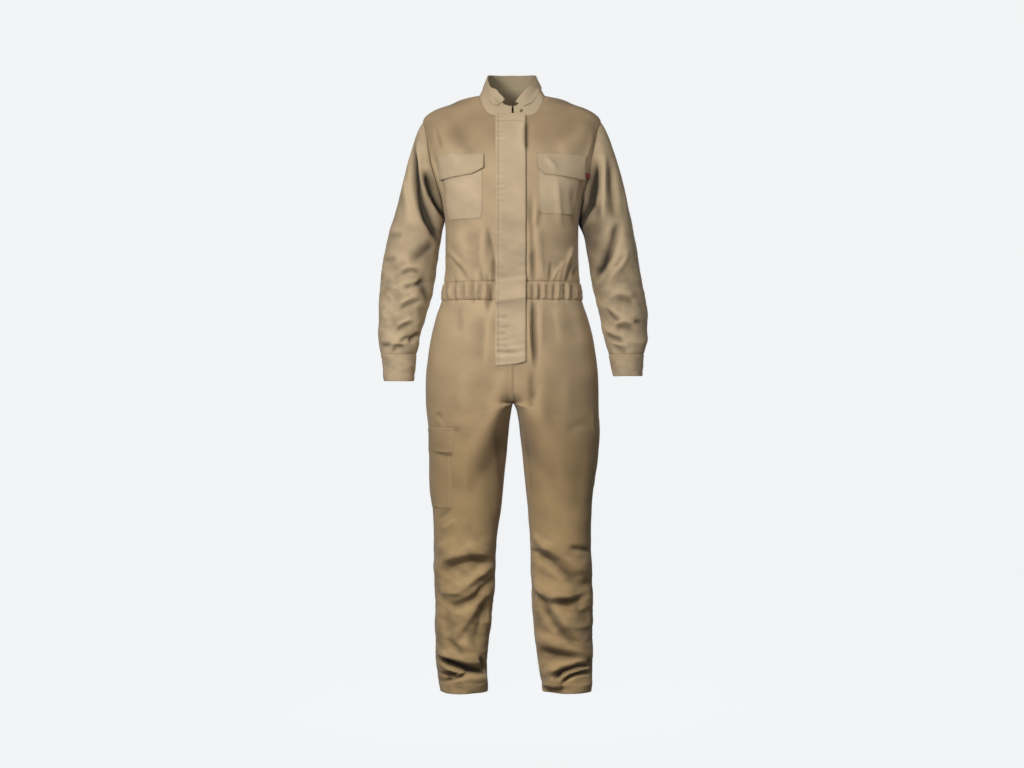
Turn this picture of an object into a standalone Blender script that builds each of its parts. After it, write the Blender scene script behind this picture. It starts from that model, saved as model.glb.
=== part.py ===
"""Boiler suit of cotton twill, filled out as it is worn, with no wearer inside.

Metres, +Z up. The front faces -Y, and the wearer's right side lies at -X. The origin is the middle of the
neck opening, where the wearer's neck and shoulders hold the suit up.

Each piece of cloth is a closed wall: a grid of skin points worked out from the tables of sections below, the
same points moved inwards by the cloth's thickness, and a rim. On every grid u runs anticlockwise as seen from
above and v runs upwards, so that the skin faces outwards. Two sewn edges stay SEAM apart."""

import math

import bpy
import numpy as np

# ---- Driving dimensions ----
CLOTH = 0.0014
SEAM = 0.0003
LAY = 0.0008
STEP = 1e-5

NECK_HALF_WIDTH = 0.078
NECK_FRONT = 0.077
NECK_BACK = 0.0605
SHOULDER_TIP = 0.2170
SHOULDER_HEIGHT = -0.042
UNDERARM = -0.225
ARMHOLE_FRONT = {"right": 0.041, "left": 0.050}
ARMHOLE_BACK = 0.058
ARMHOLE_FULLNESS = 0.15
SHOULDER_ARCH = 0.012
YOKE_ROW = {"front": -0.062, "back": -0.050}
WAIST_TOP = -0.4334
WAIST_BOTTOM = -0.4773
RISE_TOP = -0.640
CROTCH = -0.7256
FORK_END = -0.800
LEG_LEVEL = -0.930
HEM = -1.4245
ZIP_CENTRE = -0.002
ZIP_OPENING = 0.003
ZIP_END = -0.620
ZIP_TAPE = 0.028
ZIP_CLOTH = 0.001
ZIP_TOP = -0.026
ZIP_DEPTH = 0.0036
ZIP_FOOT = -0.616
PLACKET_RIGHT = -0.039
PLACKET_LEFT = 0.0317
PLACKET_TOP = -0.0235
PLACKET_END = -0.6355
PLACKET_LIFT = 0.0035
STAND_SHARE = 0.36
COLLAR_TAPER = 0.015
COLLAR_LEAN = {"front": 0.012, "back": 0.006}
COLLAR_LIFT = 0.0006
CAP_BASE = -0.304
CAP_ROUND = 0.0190
CAP_EASE = 0.012
CAP_LEAN = {"right": 0.014, "left": 0.006}
CAP_HANDLE_SIDE = 0.33
CAP_HANDLE_TOP = 0.15
CUFF_TOP = -0.6080
CUFF_END = {"right": -0.6720, "left": -0.6600}
POCKET_TOP = -0.134
FLAP_TOP = -0.124
FLAP_CORNER = -0.160
THIGH_POCKET_TURNS = (-32, 66)
THIGH_POCKET = (-0.9789, -0.7870)
THIGH_FLAP = (-0.8430, -0.7840)
SIDE_POCKET_TURNS = (-50, 16)
SIDE_POCKET = (-0.9300, -0.7640)
STUD_TURN = 15
STUD_SHARE = 0.20
STUD_RADIUS = 0.0042
STUD_THICKNESS = 0.0012

SIDES = {"right": -1, "left": 1}
KHAKI = (0.42, 0.31, 0.19)
TAPE = (0.30, 0.23, 0.15)
STUD = (0.16, 0.12, 0.08)
TAB = (0.30, 0.05, 0.04)


def table(names, rows):
    """The rows as one array for each named column, from the lowest row up."""
    return dict(zip(names.split(), np.array(sorted(rows)).T))


# Chest pockets and their flaps: how far from the middle the inner edge is, and the outer edge at each end.
POCKETS = {
    "right": {"inner": 0.0710, "outer_foot": 0.1500, "outer_head": 0.1725, "bottom": -0.2860},
    "left": {"inner": 0.0650, "outer_foot": 0.1480, "outer_head": 0.1700, "bottom": -0.2740},
}
FLAPS = {
    "right": {"inner": 0.0675, "outer_foot": 0.1735, "outer_head": 0.1765},
    "left": {"inner": 0.0615, "outer_foot": 0.1710, "outer_head": 0.1740},
}
LABEL = {"inner": 0.1715, "outer_foot": 0.1770, "outer_head": 0.1785}
LABEL_FOOT = -0.1890
LABEL_HEAD = -0.1790

# Sections of the body, from the neck to the fork. Squareness 2 is an ellipse, and more is boxier.
BODY = table(
    "height half_width front back squareness",
    [
        (0.0245, 0.0500, 0.0490, 0.0560, 2.00),
        (0.0205, 0.0780, 0.0580, 0.0620, 2.00),
        (0.0165, 0.1000, 0.0610, 0.0650, 2.00),
        (0.0115, 0.1240, 0.0640, 0.0690, 2.00),
        (0.0000, 0.1500, 0.0700, 0.0770, 2.00),
        (-0.0120, 0.1830, 0.0745, 0.0840, 2.00),
        (-0.0240, 0.2040, 0.0790, 0.0900, 2.00),
        (-0.0360, 0.2150, 0.0840, 0.0955, 2.00),
        (-0.0440, 0.2175, 0.0875, 0.0985, 2.00),
        (-0.0600, 0.2180, 0.0940, 0.1040, 2.05),
        (-0.1000, 0.2140, 0.1090, 0.1130, 2.15),
        (-0.1400, 0.2060, 0.1200, 0.1190, 2.25),
        (-0.1800, 0.1915, 0.1270, 0.1210, 2.35),
        (-0.2250, 0.1730, 0.1300, 0.1190, 2.45),
        (-0.2600, 0.1660, 0.1280, 0.1160, 2.50),
        (-0.3044, 0.1610, 0.1220, 0.1100, 2.50),
        (-0.3530, 0.1610, 0.1150, 0.1050, 2.45),
        (-0.4000, 0.1625, 0.1100, 0.1030, 2.40),
        (-0.4334, 0.1660, 0.1100, 0.1050, 2.35),
        (-0.4555, 0.1690, 0.1110, 0.1070, 2.30),
        (-0.4773, 0.1715, 0.1120, 0.1100, 2.30),
        (-0.5200, 0.1850, 0.1180, 0.1210, 2.30),
        (-0.5725, 0.1975, 0.1230, 0.1330, 2.30),
        (-0.6200, 0.2045, 0.1260, 0.1390, 2.30),
        (-0.6700, 0.2090, 0.1280, 0.1410, 2.25),
        (-0.7200, 0.2098, 0.1290, 0.1390, 2.20),
        (-0.8100, 0.2100, 0.1260, 0.1320, 2.20),
    ],
)

# Sections of each leg. Inner and outer are how far the two seams are from the middle, on the leg's own side.
LEGS = {
    "right": table(
        "height inner outer front back",
        [
            (-0.6400, -0.0024, 0.2060, 0.1240, 0.1400),
            (-0.7256, -0.0024, 0.2080, 0.1160, 0.1300),
            (-0.7430, 0.0015, 0.2050, 0.1130, 0.1260),
            (-0.8000, 0.0080, 0.2010, 0.1030, 0.1120),
            (-0.8600, 0.0140, 0.1997, 0.0950, 0.1010),
            (-0.9300, 0.0212, 0.1990, 0.0880, 0.0900),
            (-0.9860, 0.0268, 0.1930, 0.0850, 0.0820),
            (-1.0590, 0.0365, 0.1899, 0.0840, 0.0740),
            (-1.1570, 0.0414, 0.1895, 0.0760, 0.0770),
            (-1.2540, 0.0487, 0.1875, 0.0690, 0.0790),
            (-1.3510, 0.0600, 0.1830, 0.0650, 0.0770),
            (-1.4245, 0.0590, 0.1745, 0.0660, 0.0740),
        ],
    ),
    "left": table(
        "height inner outer front back",
        [
            (-0.6400, 0.0030, 0.2060, 0.1240, 0.1400),
            (-0.7256, 0.0030, 0.2100, 0.1160, 0.1300),
            (-0.7430, 0.0110, 0.2118, 0.1130, 0.1260),
            (-0.8000, 0.0190, 0.2110, 0.1030, 0.1120),
            (-0.8600, 0.0265, 0.2065, 0.0950, 0.1010),
            (-0.9300, 0.0335, 0.1985, 0.0880, 0.0900),
            (-0.9860, 0.0390, 0.1948, 0.0850, 0.0820),
            (-1.0590, 0.0438, 0.1924, 0.0840, 0.0740),
            (-1.1570, 0.0463, 0.1948, 0.0760, 0.0770),
            (-1.2540, 0.0511, 0.1972, 0.0690, 0.0790),
            (-1.3510, 0.0633, 0.1975, 0.0650, 0.0770),
            (-1.4245, 0.0755, 0.1924, 0.0660, 0.0740),
        ],
    ),
}

# Sections of each sleeve. Out is from the suit's middle to the sleeve's middle, and ahead is towards -Y.
SLEEVES = {
    "right": table(
        "height out ahead half_width half_depth",
        [
            (-0.2500, 0.2268, 0.000, 0.0563, 0.0700),
            (-0.3044, 0.2338, 0.002, 0.0633, 0.0720),
            (-0.3774, 0.2466, 0.006, 0.0660, 0.0710),
            (-0.4505, 0.2558, 0.013, 0.0640, 0.0690),
            (-0.5235, 0.2663, 0.027, 0.0560, 0.0630),
            (-0.5722, 0.2735, 0.038, 0.0500, 0.0570),
            (-0.6075, 0.2725, 0.046, 0.0435, 0.0480),
            (-0.6720, 0.2715, 0.058, 0.0360, 0.0400),
        ],
    ),
    "left": table(
        "height out ahead half_width half_depth",
        [
            (-0.2500, 0.2290, 0.000, 0.0540, 0.0720),
            (-0.3044, 0.2350, 0.002, 0.0600, 0.0742),
            (-0.3774, 0.2459, 0.006, 0.0612, 0.0735),
            (-0.4505, 0.2581, 0.013, 0.0612, 0.0715),
            (-0.5235, 0.2715, 0.027, 0.0572, 0.0652),
            (-0.5722, 0.2752, 0.038, 0.0515, 0.0588),
            (-0.6075, 0.2757, 0.046, 0.0425, 0.0492),
            (-0.6600, 0.2790, 0.056, 0.0345, 0.0410),
        ],
    ),
}

# The collar's upper edge, by the turn in degrees from the middle of the front.
COLLAR_EDGE = table(
    "turn height",
    [
        (0, 0.0160),
        (12, 0.0190),
        (20, 0.0250),
        (34, 0.0325),
        (52, 0.0430),
        (70, 0.0600),
        (90, 0.0670),
        (130, 0.0720),
        (180, 0.0735),
    ],
)

# Large folds of the legs. Turn is from the outseam towards the front, and lean is the rise over 90 degrees
# of it. Reach is in degrees, and lift is a ridge, or a trough below zero.
LEG_FOLDS = {
    "right": table(
        "height turn lean reach width lift",
        [
            (-1.105, 95, 0.020, 55, 0.016, -0.005),
            (-1.160, 80, 0.020, 60, 0.018, 0.005),
            (-1.200, 95, 0.020, 50, 0.014, -0.005),
            (-1.250, 100, 0.120, 40, 0.020, -0.005),
            (-1.325, 70, -0.020, 45, 0.014, -0.005),
            (-1.366, 95, -0.025, 70, 0.012, -0.009),
            (-1.395, 80, -0.010, 80, 0.014, 0.004),
            (-1.130, 250, 0.020, 50, 0.018, -0.005),
            (-1.230, 285, -0.050, 55, 0.020, -0.006),
            (-1.340, 260, 0.030, 60, 0.016, -0.007),
        ],
    ),
    "left": table(
        "height turn lean reach width lift",
        [
            (-1.125, 90, 0.045, 55, 0.016, -0.006),
            (-1.180, 80, 0.020, 55, 0.018, 0.005),
            (-1.285, 70, 0.120, 45, 0.018, 0.006),
            (-1.255, 115, 0.080, 35, 0.016, -0.005),
            (-1.335, 80, 0.015, 60, 0.014, -0.006),
            (-1.375, 25, 0.030, 50, 0.013, -0.008),
            (-1.362, 95, 0.000, 60, 0.015, 0.005),
            (-1.150, 265, 0.030, 50, 0.018, -0.005),
            (-1.260, 290, -0.050, 55, 0.020, -0.006),
            (-1.350, 265, 0.020, 60, 0.016, -0.007),
        ],
    ),
}

# Heights of the trousers' rows of points, close together where the folds are.
TROUSER_ROWS = np.array(
    [HEM, -1.402, -1.380, -1.362, -1.342, -1.320, -1.285, -1.250, -1.210, -1.155, -1.125, -1.095, -1.050]
    + [-0.990, LEG_LEVEL, -0.880, -0.840, FORK_END, -0.780, -0.750, -0.710]
    + [RISE_TOP, -0.570, WAIST_BOTTOM - SEAM]
)

# Large folds of the sleeves, in the same columns.
SLEEVE_FOLDS = {
    "right": table(
        "height turn lean reach width lift",
        [
            (-0.418, 95, 0.010, 50, 0.014, -0.005),
            (-0.455, 75, -0.030, 45, 0.016, 0.004),
            (-0.497, 95, 0.000, 55, 0.013, -0.005),
            (-0.548, 80, 0.020, 50, 0.014, -0.005),
            (-0.585, 90, 0.000, 80, 0.012, 0.003),
            (-0.470, 200, 0.000, 50, 0.016, -0.005),
        ],
    ),
    "left": table(
        "height turn lean reach width lift",
        [
            (-0.385, 75, -0.040, 45, 0.016, -0.005),
            (-0.440, 90, 0.020, 50, 0.016, 0.004),
            (-0.475, 70, 0.000, 50, 0.013, -0.005),
            (-0.541, 60, 0.005, 60, 0.013, -0.006),
            (-0.580, 90, 0.000, 80, 0.012, 0.003),
            (-0.470, 200, 0.000, 50, 0.016, -0.005),
        ],
    ),
}


# ---- Reading the tables ----
def smooth(where, places, values):
    """A monotone cubic through (places, values): it never goes past a row's own value between two rows."""
    gaps = np.diff(places)
    slopes = np.diff(values) / gaps
    before, after = slopes[:-1], slopes[1:]
    same = before * after > 0
    total = np.where(same, before + after, 1.0)
    inner = np.where(same, 2 * before * after / total, 0.0)
    tangents = np.concatenate([slopes[:1], inner, slopes[-1:]])
    row = np.clip(np.searchsorted(places, where, side="right") - 1, 0, len(gaps) - 1)
    t = (where - places[row]) / gaps[row]
    rise = 3 * t**2 - 2 * t**3
    start = (t - 2 * t**2 + t**3) * gaps[row] * tangents[row]
    end = (t**3 - t**2) * gaps[row] * tangents[row + 1]
    return values[row] + (values[row + 1] - values[row]) * rise + start + end


def read(rows, column, where):
    """A column of a table at any place along its first column."""
    places = rows[next(iter(rows))]
    return smooth(np.clip(where, places[0], places[-1]), places, rows[column])


def blend(a, b, share):
    return a + (b - a) * share


def eased(t):
    """0 to 1 with level ends."""
    t = np.clip(t, 0, 1)
    return t * t * (3 - 2 * t)


def fold_lift(folds, turn, height):
    """How far the folds lift the skin: each is a ridge across the leg or sleeve that dies out sideways."""
    turn, height = np.broadcast_arrays(turn, height)
    lift = np.zeros(turn.shape)
    for top, middle, lean, reach, width, most in zip(*folds.values()):
        away = (np.degrees(turn) - middle + 180) % 360 - 180
        across = (height - top - lean * away / 90) / width
        lift += most * np.exp(-(across**2) - (away / reach) ** 2)
    return lift


# ---- Body ----
def body(angle, height):
    """Skin of the body. The angle starts at the middle of the front and grows anticlockwise."""
    sideways, forward = np.sin(angle), np.cos(angle)
    power = 2 / read(BODY, "squareness", height)
    depth = np.where(forward > 0, read(BODY, "front", height), read(BODY, "back", height))
    x = read(BODY, "half_width", height) * np.sign(sideways) * np.abs(sideways) ** power
    y = -depth * np.sign(forward) * np.abs(forward) ** power
    return np.stack(np.broadcast_arrays(x, y, height), axis=-1)


def angle_at(x, height):
    """The angle on the front half of the body where the skin is x from the middle."""
    share = np.clip(np.abs(x) / read(BODY, "half_width", height), 0, 1)
    return np.sign(x) * np.arcsin(share ** (read(BODY, "squareness", height) / 2))


def front_at(x, height):
    """Skin of the front at a distance x from the middle."""
    return body(angle_at(x, height), height)


def height_over(x, y):
    """Height of the shoulder slope over a place in plan, found by halving the range."""
    low = np.full(np.shape(x), SHOULDER_HEIGHT - 0.002)
    high = np.full(np.shape(x), 0.0245)
    column = np.where(y < 0, 0.0, 1.0)
    for _ in range(45):
        middle = (low + high) / 2
        power = read(BODY, "squareness", middle)
        depth = blend(read(BODY, "front", middle), read(BODY, "back", middle), column)
        reach = (np.abs(x) / read(BODY, "half_width", middle)) ** power + (np.abs(y) / depth) ** power
        low = np.where(reach < 1, middle, low)
        high = np.where(reach < 1, high, middle)
    return (low + high) / 2


def plan_angle(x, y, height, back):
    """The angle of a place in plan, from the middle of the front or of the back."""
    power = read(BODY, "squareness", height) / 2
    depth = read(BODY, "back" if back else "front", height)
    sideways = (np.abs(x) / read(BODY, "half_width", height)) ** power
    return np.arctan2(sideways, np.sign(np.abs(y)) * (np.abs(y) / depth) ** power)


# ---- Bodice ----
def armhole(side, turn):
    """The armhole's (y, height): turn 0 is the shoulder tip, 90 degrees the front, 180 the underarm. It is an
    oval, fuller below its middle."""
    middle, half = (SHOULDER_HEIGHT + UNDERARM) / 2, (SHOULDER_HEIGHT - UNDERARM) / 2
    wide = np.where(np.sin(turn) > 0, ARMHOLE_FRONT[side], ARMHOLE_BACK)
    full = 1 - ARMHOLE_FULLNESS * np.cos(turn)
    return -wide * full * np.sin(turn), middle + half * np.cos(turn)


def bodice_side(side, v, back):
    """(angle, height) up the outer edge: side seam for v to 1, armhole to 2, then the shoulder seam to 3."""
    turn = math.pi * (1 - np.clip(v - 1, 0, 1))
    y, arm_height = armhole(side, -turn if back else turn)
    depth = read(BODY, "back" if back else "front", arm_height)
    forward = (np.abs(y) / depth) ** (read(BODY, "squareness", arm_height) / 2)
    along = blend(SHOULDER_TIP, NECK_HALF_WIDTH, np.clip(v - 2, 0, 1))
    ridge = height_over(along, np.zeros_like(along))
    side = blend(WAIST_TOP, UNDERARM, v)
    height = np.where(v < 1, side, np.where(v < 2, arm_height, ridge))
    return np.where((v > 1) & (v < 2), np.arccos(forward), math.pi / 2), height


def bodice(side, across, v, edge, back):
    """Half a bodice from its centre edge (across 0) to the side, as (angle, height) on the body."""
    side_angle, side_height = bodice_side(side, v, back)
    yoke = YOKE_ROW["back" if back else "front"]
    depth = NECK_BACK if back else NECK_FRONT
    start = math.asin(edge / NECK_HALF_WIDTH)
    turns = [blend(start, math.pi / 2, share) for share in (across, 0 * across, 0 * across + 1)]
    heights, angles = [], []
    for turn in turns:
        x = NECK_HALF_WIDTH * np.sin(turn)
        y = (1 if back else -1) * depth * np.cos(turn)
        heights.append(height_over(x, y))
        angles.append(plan_angle(x, y, heights[-1], back))
    centre_height = np.where(
        v < 1,
        side_height,
        np.where(
            v < 2,
            blend(UNDERARM, yoke, (side_height - UNDERARM) / (SHOULDER_HEIGHT - UNDERARM)),
            blend(yoke, heights[1], np.clip(v - 2, 0, 1)),
        ),
    )
    bend = eased((v - 1.5) / 1.5)
    height = blend(centre_height, side_height, across)
    height = height + SHOULDER_ARCH * 4 * across * (1 - across) * eased(1 - np.abs(v - 2))
    height = height + bend * (heights[0] - blend(heights[1], heights[2], across))
    angle = blend(angle_at(edge, centre_height), side_angle, across)
    angle = angle + bend * (angles[0] - blend(angles[1], angles[2], across))
    return angle, height


def zip_edge(side):
    """How far a front's zip edge is from the middle, on its own side."""
    return ZIP_OPENING + SIDES[side] * ZIP_CENTRE


def bodice_front(side):
    def surface(u, v):
        across = u if side == "left" else 1 - u
        angle, height = bodice(side, across, v, zip_edge(side), back=False)
        return body(SIDES[side] * angle, height)

    return surface


def bodice_back(u, v):
    across = 2 * u - 1
    angle, height = bodice("right", np.abs(across), v, 0.0, back=True)
    return body(math.pi + np.sign(across) * angle, height)


# ---- Trousers ----
def fork(label):
    """For a row of the trousers, named by its height at the outseam: its height at the inseam, and how far
    the body's ring has parted into leg rings."""
    swing = np.clip((RISE_TOP - label) / (RISE_TOP - FORK_END), 0, 1) * math.pi / 2
    below = np.clip((FORK_END - label) / (FORK_END - LEG_LEVEL), 0, 1)
    curve = RISE_TOP + (CROTCH - RISE_TOP) * np.sin(swing)
    inner = np.where(label > RISE_TOP, label, np.where(label > FORK_END, curve, 0))
    inner = np.where(label <= FORK_END, blend(CROTCH, LEG_LEVEL, below**1.4), inner)
    return np.where(label < LEG_LEVEL, label, inner), 1 - np.cos(swing)


def trousers(side, turn, label):
    """Skin of one half of the trousers: turn 0 is the outseam, 90 degrees the front, 180 the inseam."""
    sign, leg = SIDES[side], LEGS[side]
    inner_height, parted = fork(label)
    height = blend(label, inner_height, (1 - np.cos(turn)) / 2)
    opening = zip_edge(side) * eased((label - ZIP_END + 0.02) / 0.02)
    edge = angle_at(opening, height)
    front_angle = blend(edge, math.pi / 2, (math.pi - turn) / math.pi)
    angle = np.where(turn < math.pi, front_angle, 1.5 * math.pi - turn / 2)
    whole = body(sign * angle, height)
    inner, outer = read(leg, "inner", height), read(leg, "outer", height)
    depth = np.where(np.sin(turn) > 0, read(leg, "front", height), read(leg, "back", height))
    x = sign * ((inner + outer) / 2 + (outer - inner) / 2 * np.cos(turn))
    part = np.stack([x, -depth * np.sin(turn), height], axis=-1)
    lift = fold_lift(LEG_FOLDS[side], turn, height)
    outwards = np.stack([sign * np.cos(turn), -np.sin(turn), 0 * turn], axis=-1)
    return blend(whole, part, parted[..., None]) + lift[..., None] * outwards


def trouser_turn(side, front, u):
    """The turn of a place on a trouser piece, so that u runs anticlockwise on each of the four pieces."""
    start = 0 if front else math.pi
    return start + math.pi * (u if side == "right" else 1 - u)


def trouser_piece(side, front):
    def surface(u, v):
        turn = trouser_turn(side, front, u)
        return trousers(side, turn, blend(WAIST_BOTTOM, HEM, 1 - v))

    return surface


def label_for(turn, height):
    """The row of the trousers that has this height at this turn, found by halving the range."""
    low, high = np.full(np.shape(height), HEM), np.full(np.shape(height), WAIST_BOTTOM)
    for _ in range(45):
        middle = (low + high) / 2
        found = blend(middle, fork(middle)[0], (1 - np.cos(turn)) / 2)
        low = np.where(found < height, middle, low)
        high = np.where(found < height, high, middle)
    return (low + high) / 2


# ---- Sleeves ----
def sleeve_ring(side, turn, height, low=CUFF_TOP):
    """Skin of the sleeve below its cap: turn 0 is the outside, 90 degrees the front, 180 the inside."""
    rows = SLEEVES[side]
    lift = fold_lift(SLEEVE_FOLDS[side], turn, height) * eased((height - low) / 0.02)
    x = read(rows, "out", height) + (read(rows, "half_width", height) + lift) * np.cos(turn)
    y = -read(rows, "ahead", height) - (read(rows, "half_depth", height) + lift) * np.sin(turn)
    return np.stack(np.broadcast_arrays(SIDES[side] * x, y, height), axis=-1)


def sleeve_head(side, turn):
    """The sleeve's edge at the armhole, just off the bodice."""
    y, height = armhole(side, turn)
    depth = np.where(y < 0, read(BODY, "front", height), read(BODY, "back", height))
    power = read(BODY, "squareness", height)
    x = read(BODY, "half_width", height) * (1 - (np.abs(y) / depth) ** power) ** (1 / power)
    top = (1 + np.cos(turn)) / 2
    off = 0.0006 + 0.0009 * top
    return np.stack([SIDES[side] * (x + off), y, height - 0.0004 * top], axis=-1)


def sleeve(side):
    """v 0 to 1 is the tube from the cuff to the cap's base, and 1 to 2 the cap, a cubic up to the armhole. At
    the top the cubic leaves the armhole outwards, which rounds the shoulder."""

    def surface(u, v):
        turn = -SIDES[side] * 2 * math.pi * u
        tube_height = blend(CUFF_TOP + SEAM, CAP_BASE, np.clip(v, 0, 1))
        tube = sleeve_ring(side, turn, tube_height)
        base = sleeve_ring(side, turn, CAP_BASE + 0 * turn)
        up = (base - sleeve_ring(side, turn, CAP_BASE - 0.001 + 0 * turn)) / 0.001
        head = sleeve_head(side, turn)
        rise = (head - base)[..., 2:]
        top = ((1 + np.cos(turn)) / 2)[..., None]
        sideways = np.stack([SIDES[side] * np.cos(turn), -np.sin(turn), 0 * turn], axis=-1)
        bulge = CAP_ROUND * top**2 + CAP_EASE * np.abs(np.sin(turn))[..., None]
        handle = blend(CAP_HANDLE_SIDE, CAP_HANDLE_TOP, top**2)
        near_head = head + handle * (base - head) + bulge * sideways
        near_base = base + up * rise / 3 - CAP_LEAN[side] * top * sideways
        t = np.clip(v - 1, 0, 1)[..., None]
        cap = (1 - t) ** 3 * base + 3 * (1 - t) ** 2 * t * near_base
        cap = cap + 3 * (1 - t) * t**2 * near_head + t**3 * head
        return np.where(v[..., None] < 1, tube, cap)

    return surface


def cuff(side):
    def surface(u, v):
        turn = -SIDES[side] * 2 * math.pi * u
        return sleeve_ring(side, turn, blend(CUFF_END[side], CUFF_TOP, v))

    return surface


# ---- Collar ----
def collar(turn, share):
    """Skin of the collar: turn is from the middle of the front, anticlockwise, and share runs up from the
    seam at the neckline to the upper edge."""
    depth = np.where(np.cos(turn) > 0, NECK_FRONT, NECK_BACK)
    foot = height_over(NECK_HALF_WIDTH * np.sin(turn), -depth * np.cos(turn))
    from_front = np.abs((np.degrees(turn) + 180) % 360 - 180)
    top = read(COLLAR_EDGE, "height", from_front)
    lean = np.where(np.cos(turn) > 0, COLLAR_LEAN["front"], COLLAR_LEAN["back"])
    x = (NECK_HALF_WIDTH - COLLAR_TAPER * share) * np.sin(turn)
    y = -(depth - lean * share) * np.cos(turn)
    return np.stack([x, y, blend(foot, top, share) + COLLAR_LIFT], axis=-1)


# ---- Pieces that lie on a panel ----
def lifted(base, lift):
    """The surface `base`, moved out by its cloth, the gap under it and a lift that may vary."""

    def surface(u, v):
        out = CLOTH + LAY + lift(u, v)
        return base(u, v) + np.asarray(out)[..., None] * facing(base, u, v)

    return surface


def level(_u, _v):
    """The lift of a piece that lies flat on what carries it."""
    return 0.0


def flap_lift(_u, v):
    """A flap lies over the patch below it, and stands off by 3 mm along its free edge."""
    return CLOTH + 0.0004 + 0.003 * (1 - v)


def flap_edge(away):
    """Height of a flap's lower edge: it drops across the cut corner, then gently to the outer end."""
    return FLAP_CORNER - 0.010 * np.clip(away / 0.12, 0, 1) - 0.011 * np.clip((away - 0.12) / 0.88, 0, 1)


def front_patch(side, edges, bottom, top):
    """A patch on the bodice front, between its `edges`. `bottom` is a height, or a function that gives it
    from how far out a place is."""

    def surface(u, v):
        away = u if side == "left" else 1 - u
        x = blend(edges["inner"], blend(edges["outer_foot"], edges["outer_head"], v), away)
        foot = bottom(away) if callable(bottom) else bottom
        return front_at(SIDES[side] * x, blend(foot, top, v))

    return surface


def placket_surface(u, v):
    """The placket's upper edge drops by 4 mm at its free corner."""
    x = blend(PLACKET_RIGHT, PLACKET_LEFT, u)
    return front_at(x, blend(PLACKET_END, PLACKET_TOP - 0.004 * u**4, v))


def zip_surface(u, v):
    x = ZIP_CENTRE + ZIP_TAPE * (u - 0.5)
    return front_at(x, blend(ZIP_FOOT, ZIP_TOP, v))


def thigh_patch(side, turns, heights):
    """A patch round the outseam, between two turns in degrees and two heights."""

    def surface(u, v):
        across = u if side == "right" else 1 - u
        turn = np.radians(blend(turns[0], turns[1], across))
        label = label_for(turn, blend(heights[0], heights[1], v))
        return trousers(side, np.where(turn < 0, turn + 2 * math.pi, turn), label)

    return surface


# ---- Solids ----
def facing(surface, u, v):
    """Unit normals of a surface, from small steps along u and v."""
    across = surface(u + STEP, v) - surface(u - STEP, v)
    up = surface(u, v + STEP) - surface(u, v - STEP)
    normal = np.cross(across, up)
    return normal / np.linalg.norm(normal, axis=-1, keepdims=True)


def grid_faces(rows, columns, tube):
    """Triangles of a wall on a grid: the skin, the inner side after it, and the rim between them."""
    index = np.arange(rows * columns).reshape(rows, columns)
    if tube:
        index = np.concatenate([index, index[:, :1]], axis=1)
    a, b, c, d = index[:-1, :-1], index[:-1, 1:], index[1:, 1:], index[1:, :-1]
    skin = np.concatenate([np.stack([a, b, c], -1).reshape(-1, 3), np.stack([a, c, d], -1).reshape(-1, 3)])
    edges = [(index[0, 1:], index[0, :-1]), (index[-1, :-1], index[-1, 1:])]
    if not tube:
        edges += [(index[:-1, 0], index[1:, 0]), (index[1:, -1], index[:-1, -1])]
    start = np.concatenate([edge[0] for edge in edges])
    end = np.concatenate([edge[1] for edge in edges])
    under = rows * columns
    rim = np.concatenate(
        [np.stack([start, end, end + under], -1), np.stack([start, end + under, start + under], -1)]
    )
    return np.concatenate([skin, skin[:, ::-1] + under, rim])


def finish(name, colour, roughness=0.9, metallic=0.0):
    material = bpy.data.materials.new(name)
    material.use_nodes = True
    shader = material.node_tree.nodes["Principled BSDF"]
    shader.inputs["Base Color"].default_value = (*colour, 1.0)
    shader.inputs["Roughness"].default_value = roughness
    shader.inputs["Metallic"].default_value = metallic
    material.diffuse_color = (*colour, 1.0)
    return material


def solid(name, points, faces, material):
    mesh = bpy.data.meshes.new(name)
    mesh.from_pydata(points.tolist(), [], faces.tolist())
    mesh.shade_smooth()
    mesh.set_sharp_from_angle(angle=math.radians(40))
    mesh.materials.append(material)
    piece = bpy.data.objects.new(name, mesh)
    bpy.context.scene.collection.objects.link(piece)
    piece.parent = bpy.data.objects["suit"]
    return piece


def wall(name, surface, u, v, thickness=CLOTH, tube=False, colour=KHAKI):
    """A closed wall of cloth behind the skin `surface`, over the grid of u across and v up."""
    u, v = np.meshgrid(u, v)
    skin = surface(u, v)
    inside = skin - thickness * facing(surface, u, v)
    points = np.concatenate([skin.reshape(-1, 3), inside.reshape(-1, 3)])
    return solid(name, points, grid_faces(*u.shape, tube), finish(name, colour))


def steps(start, end, count):
    return np.linspace(start, end, count)


# ---- The suit ----
def make_bodice():
    edge = 0.002
    rise = np.concatenate([steps(0.0008, 1, 6)[:-1], steps(1, 2, 9)[:-1], steps(2, 2.996, 5)])
    for side in SIDES:
        wall("front_" + side, bodice_front(side), steps(edge, 1 - edge, 9), rise)
    wall("back", bodice_back, steps(edge / 2, 1 - edge / 2, 12), rise)


def make_waistband():
    trim = SEAM / 2

    def surface(u, v):
        height = blend(WAIST_BOTTOM + trim, WAIST_TOP - trim, v)
        start = angle_at(zip_edge("left"), height)
        end = 2 * math.pi - angle_at(zip_edge("right"), height)
        return body(blend(start, end, u), height)

    wall("waistband", surface, steps(0, 1, 33), steps(0, 1, 3))


def make_trousers():
    rows = 1 - (WAIST_BOTTOM - TROUSER_ROWS) / (WAIST_BOTTOM - HEM)
    for side in SIDES:
        for place, front in (("front", True), ("back", False)):
            wall(f"trouser_{place}_{side}", trouser_piece(side, front), steps(0.0012, 0.9988, 8), rows)


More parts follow.
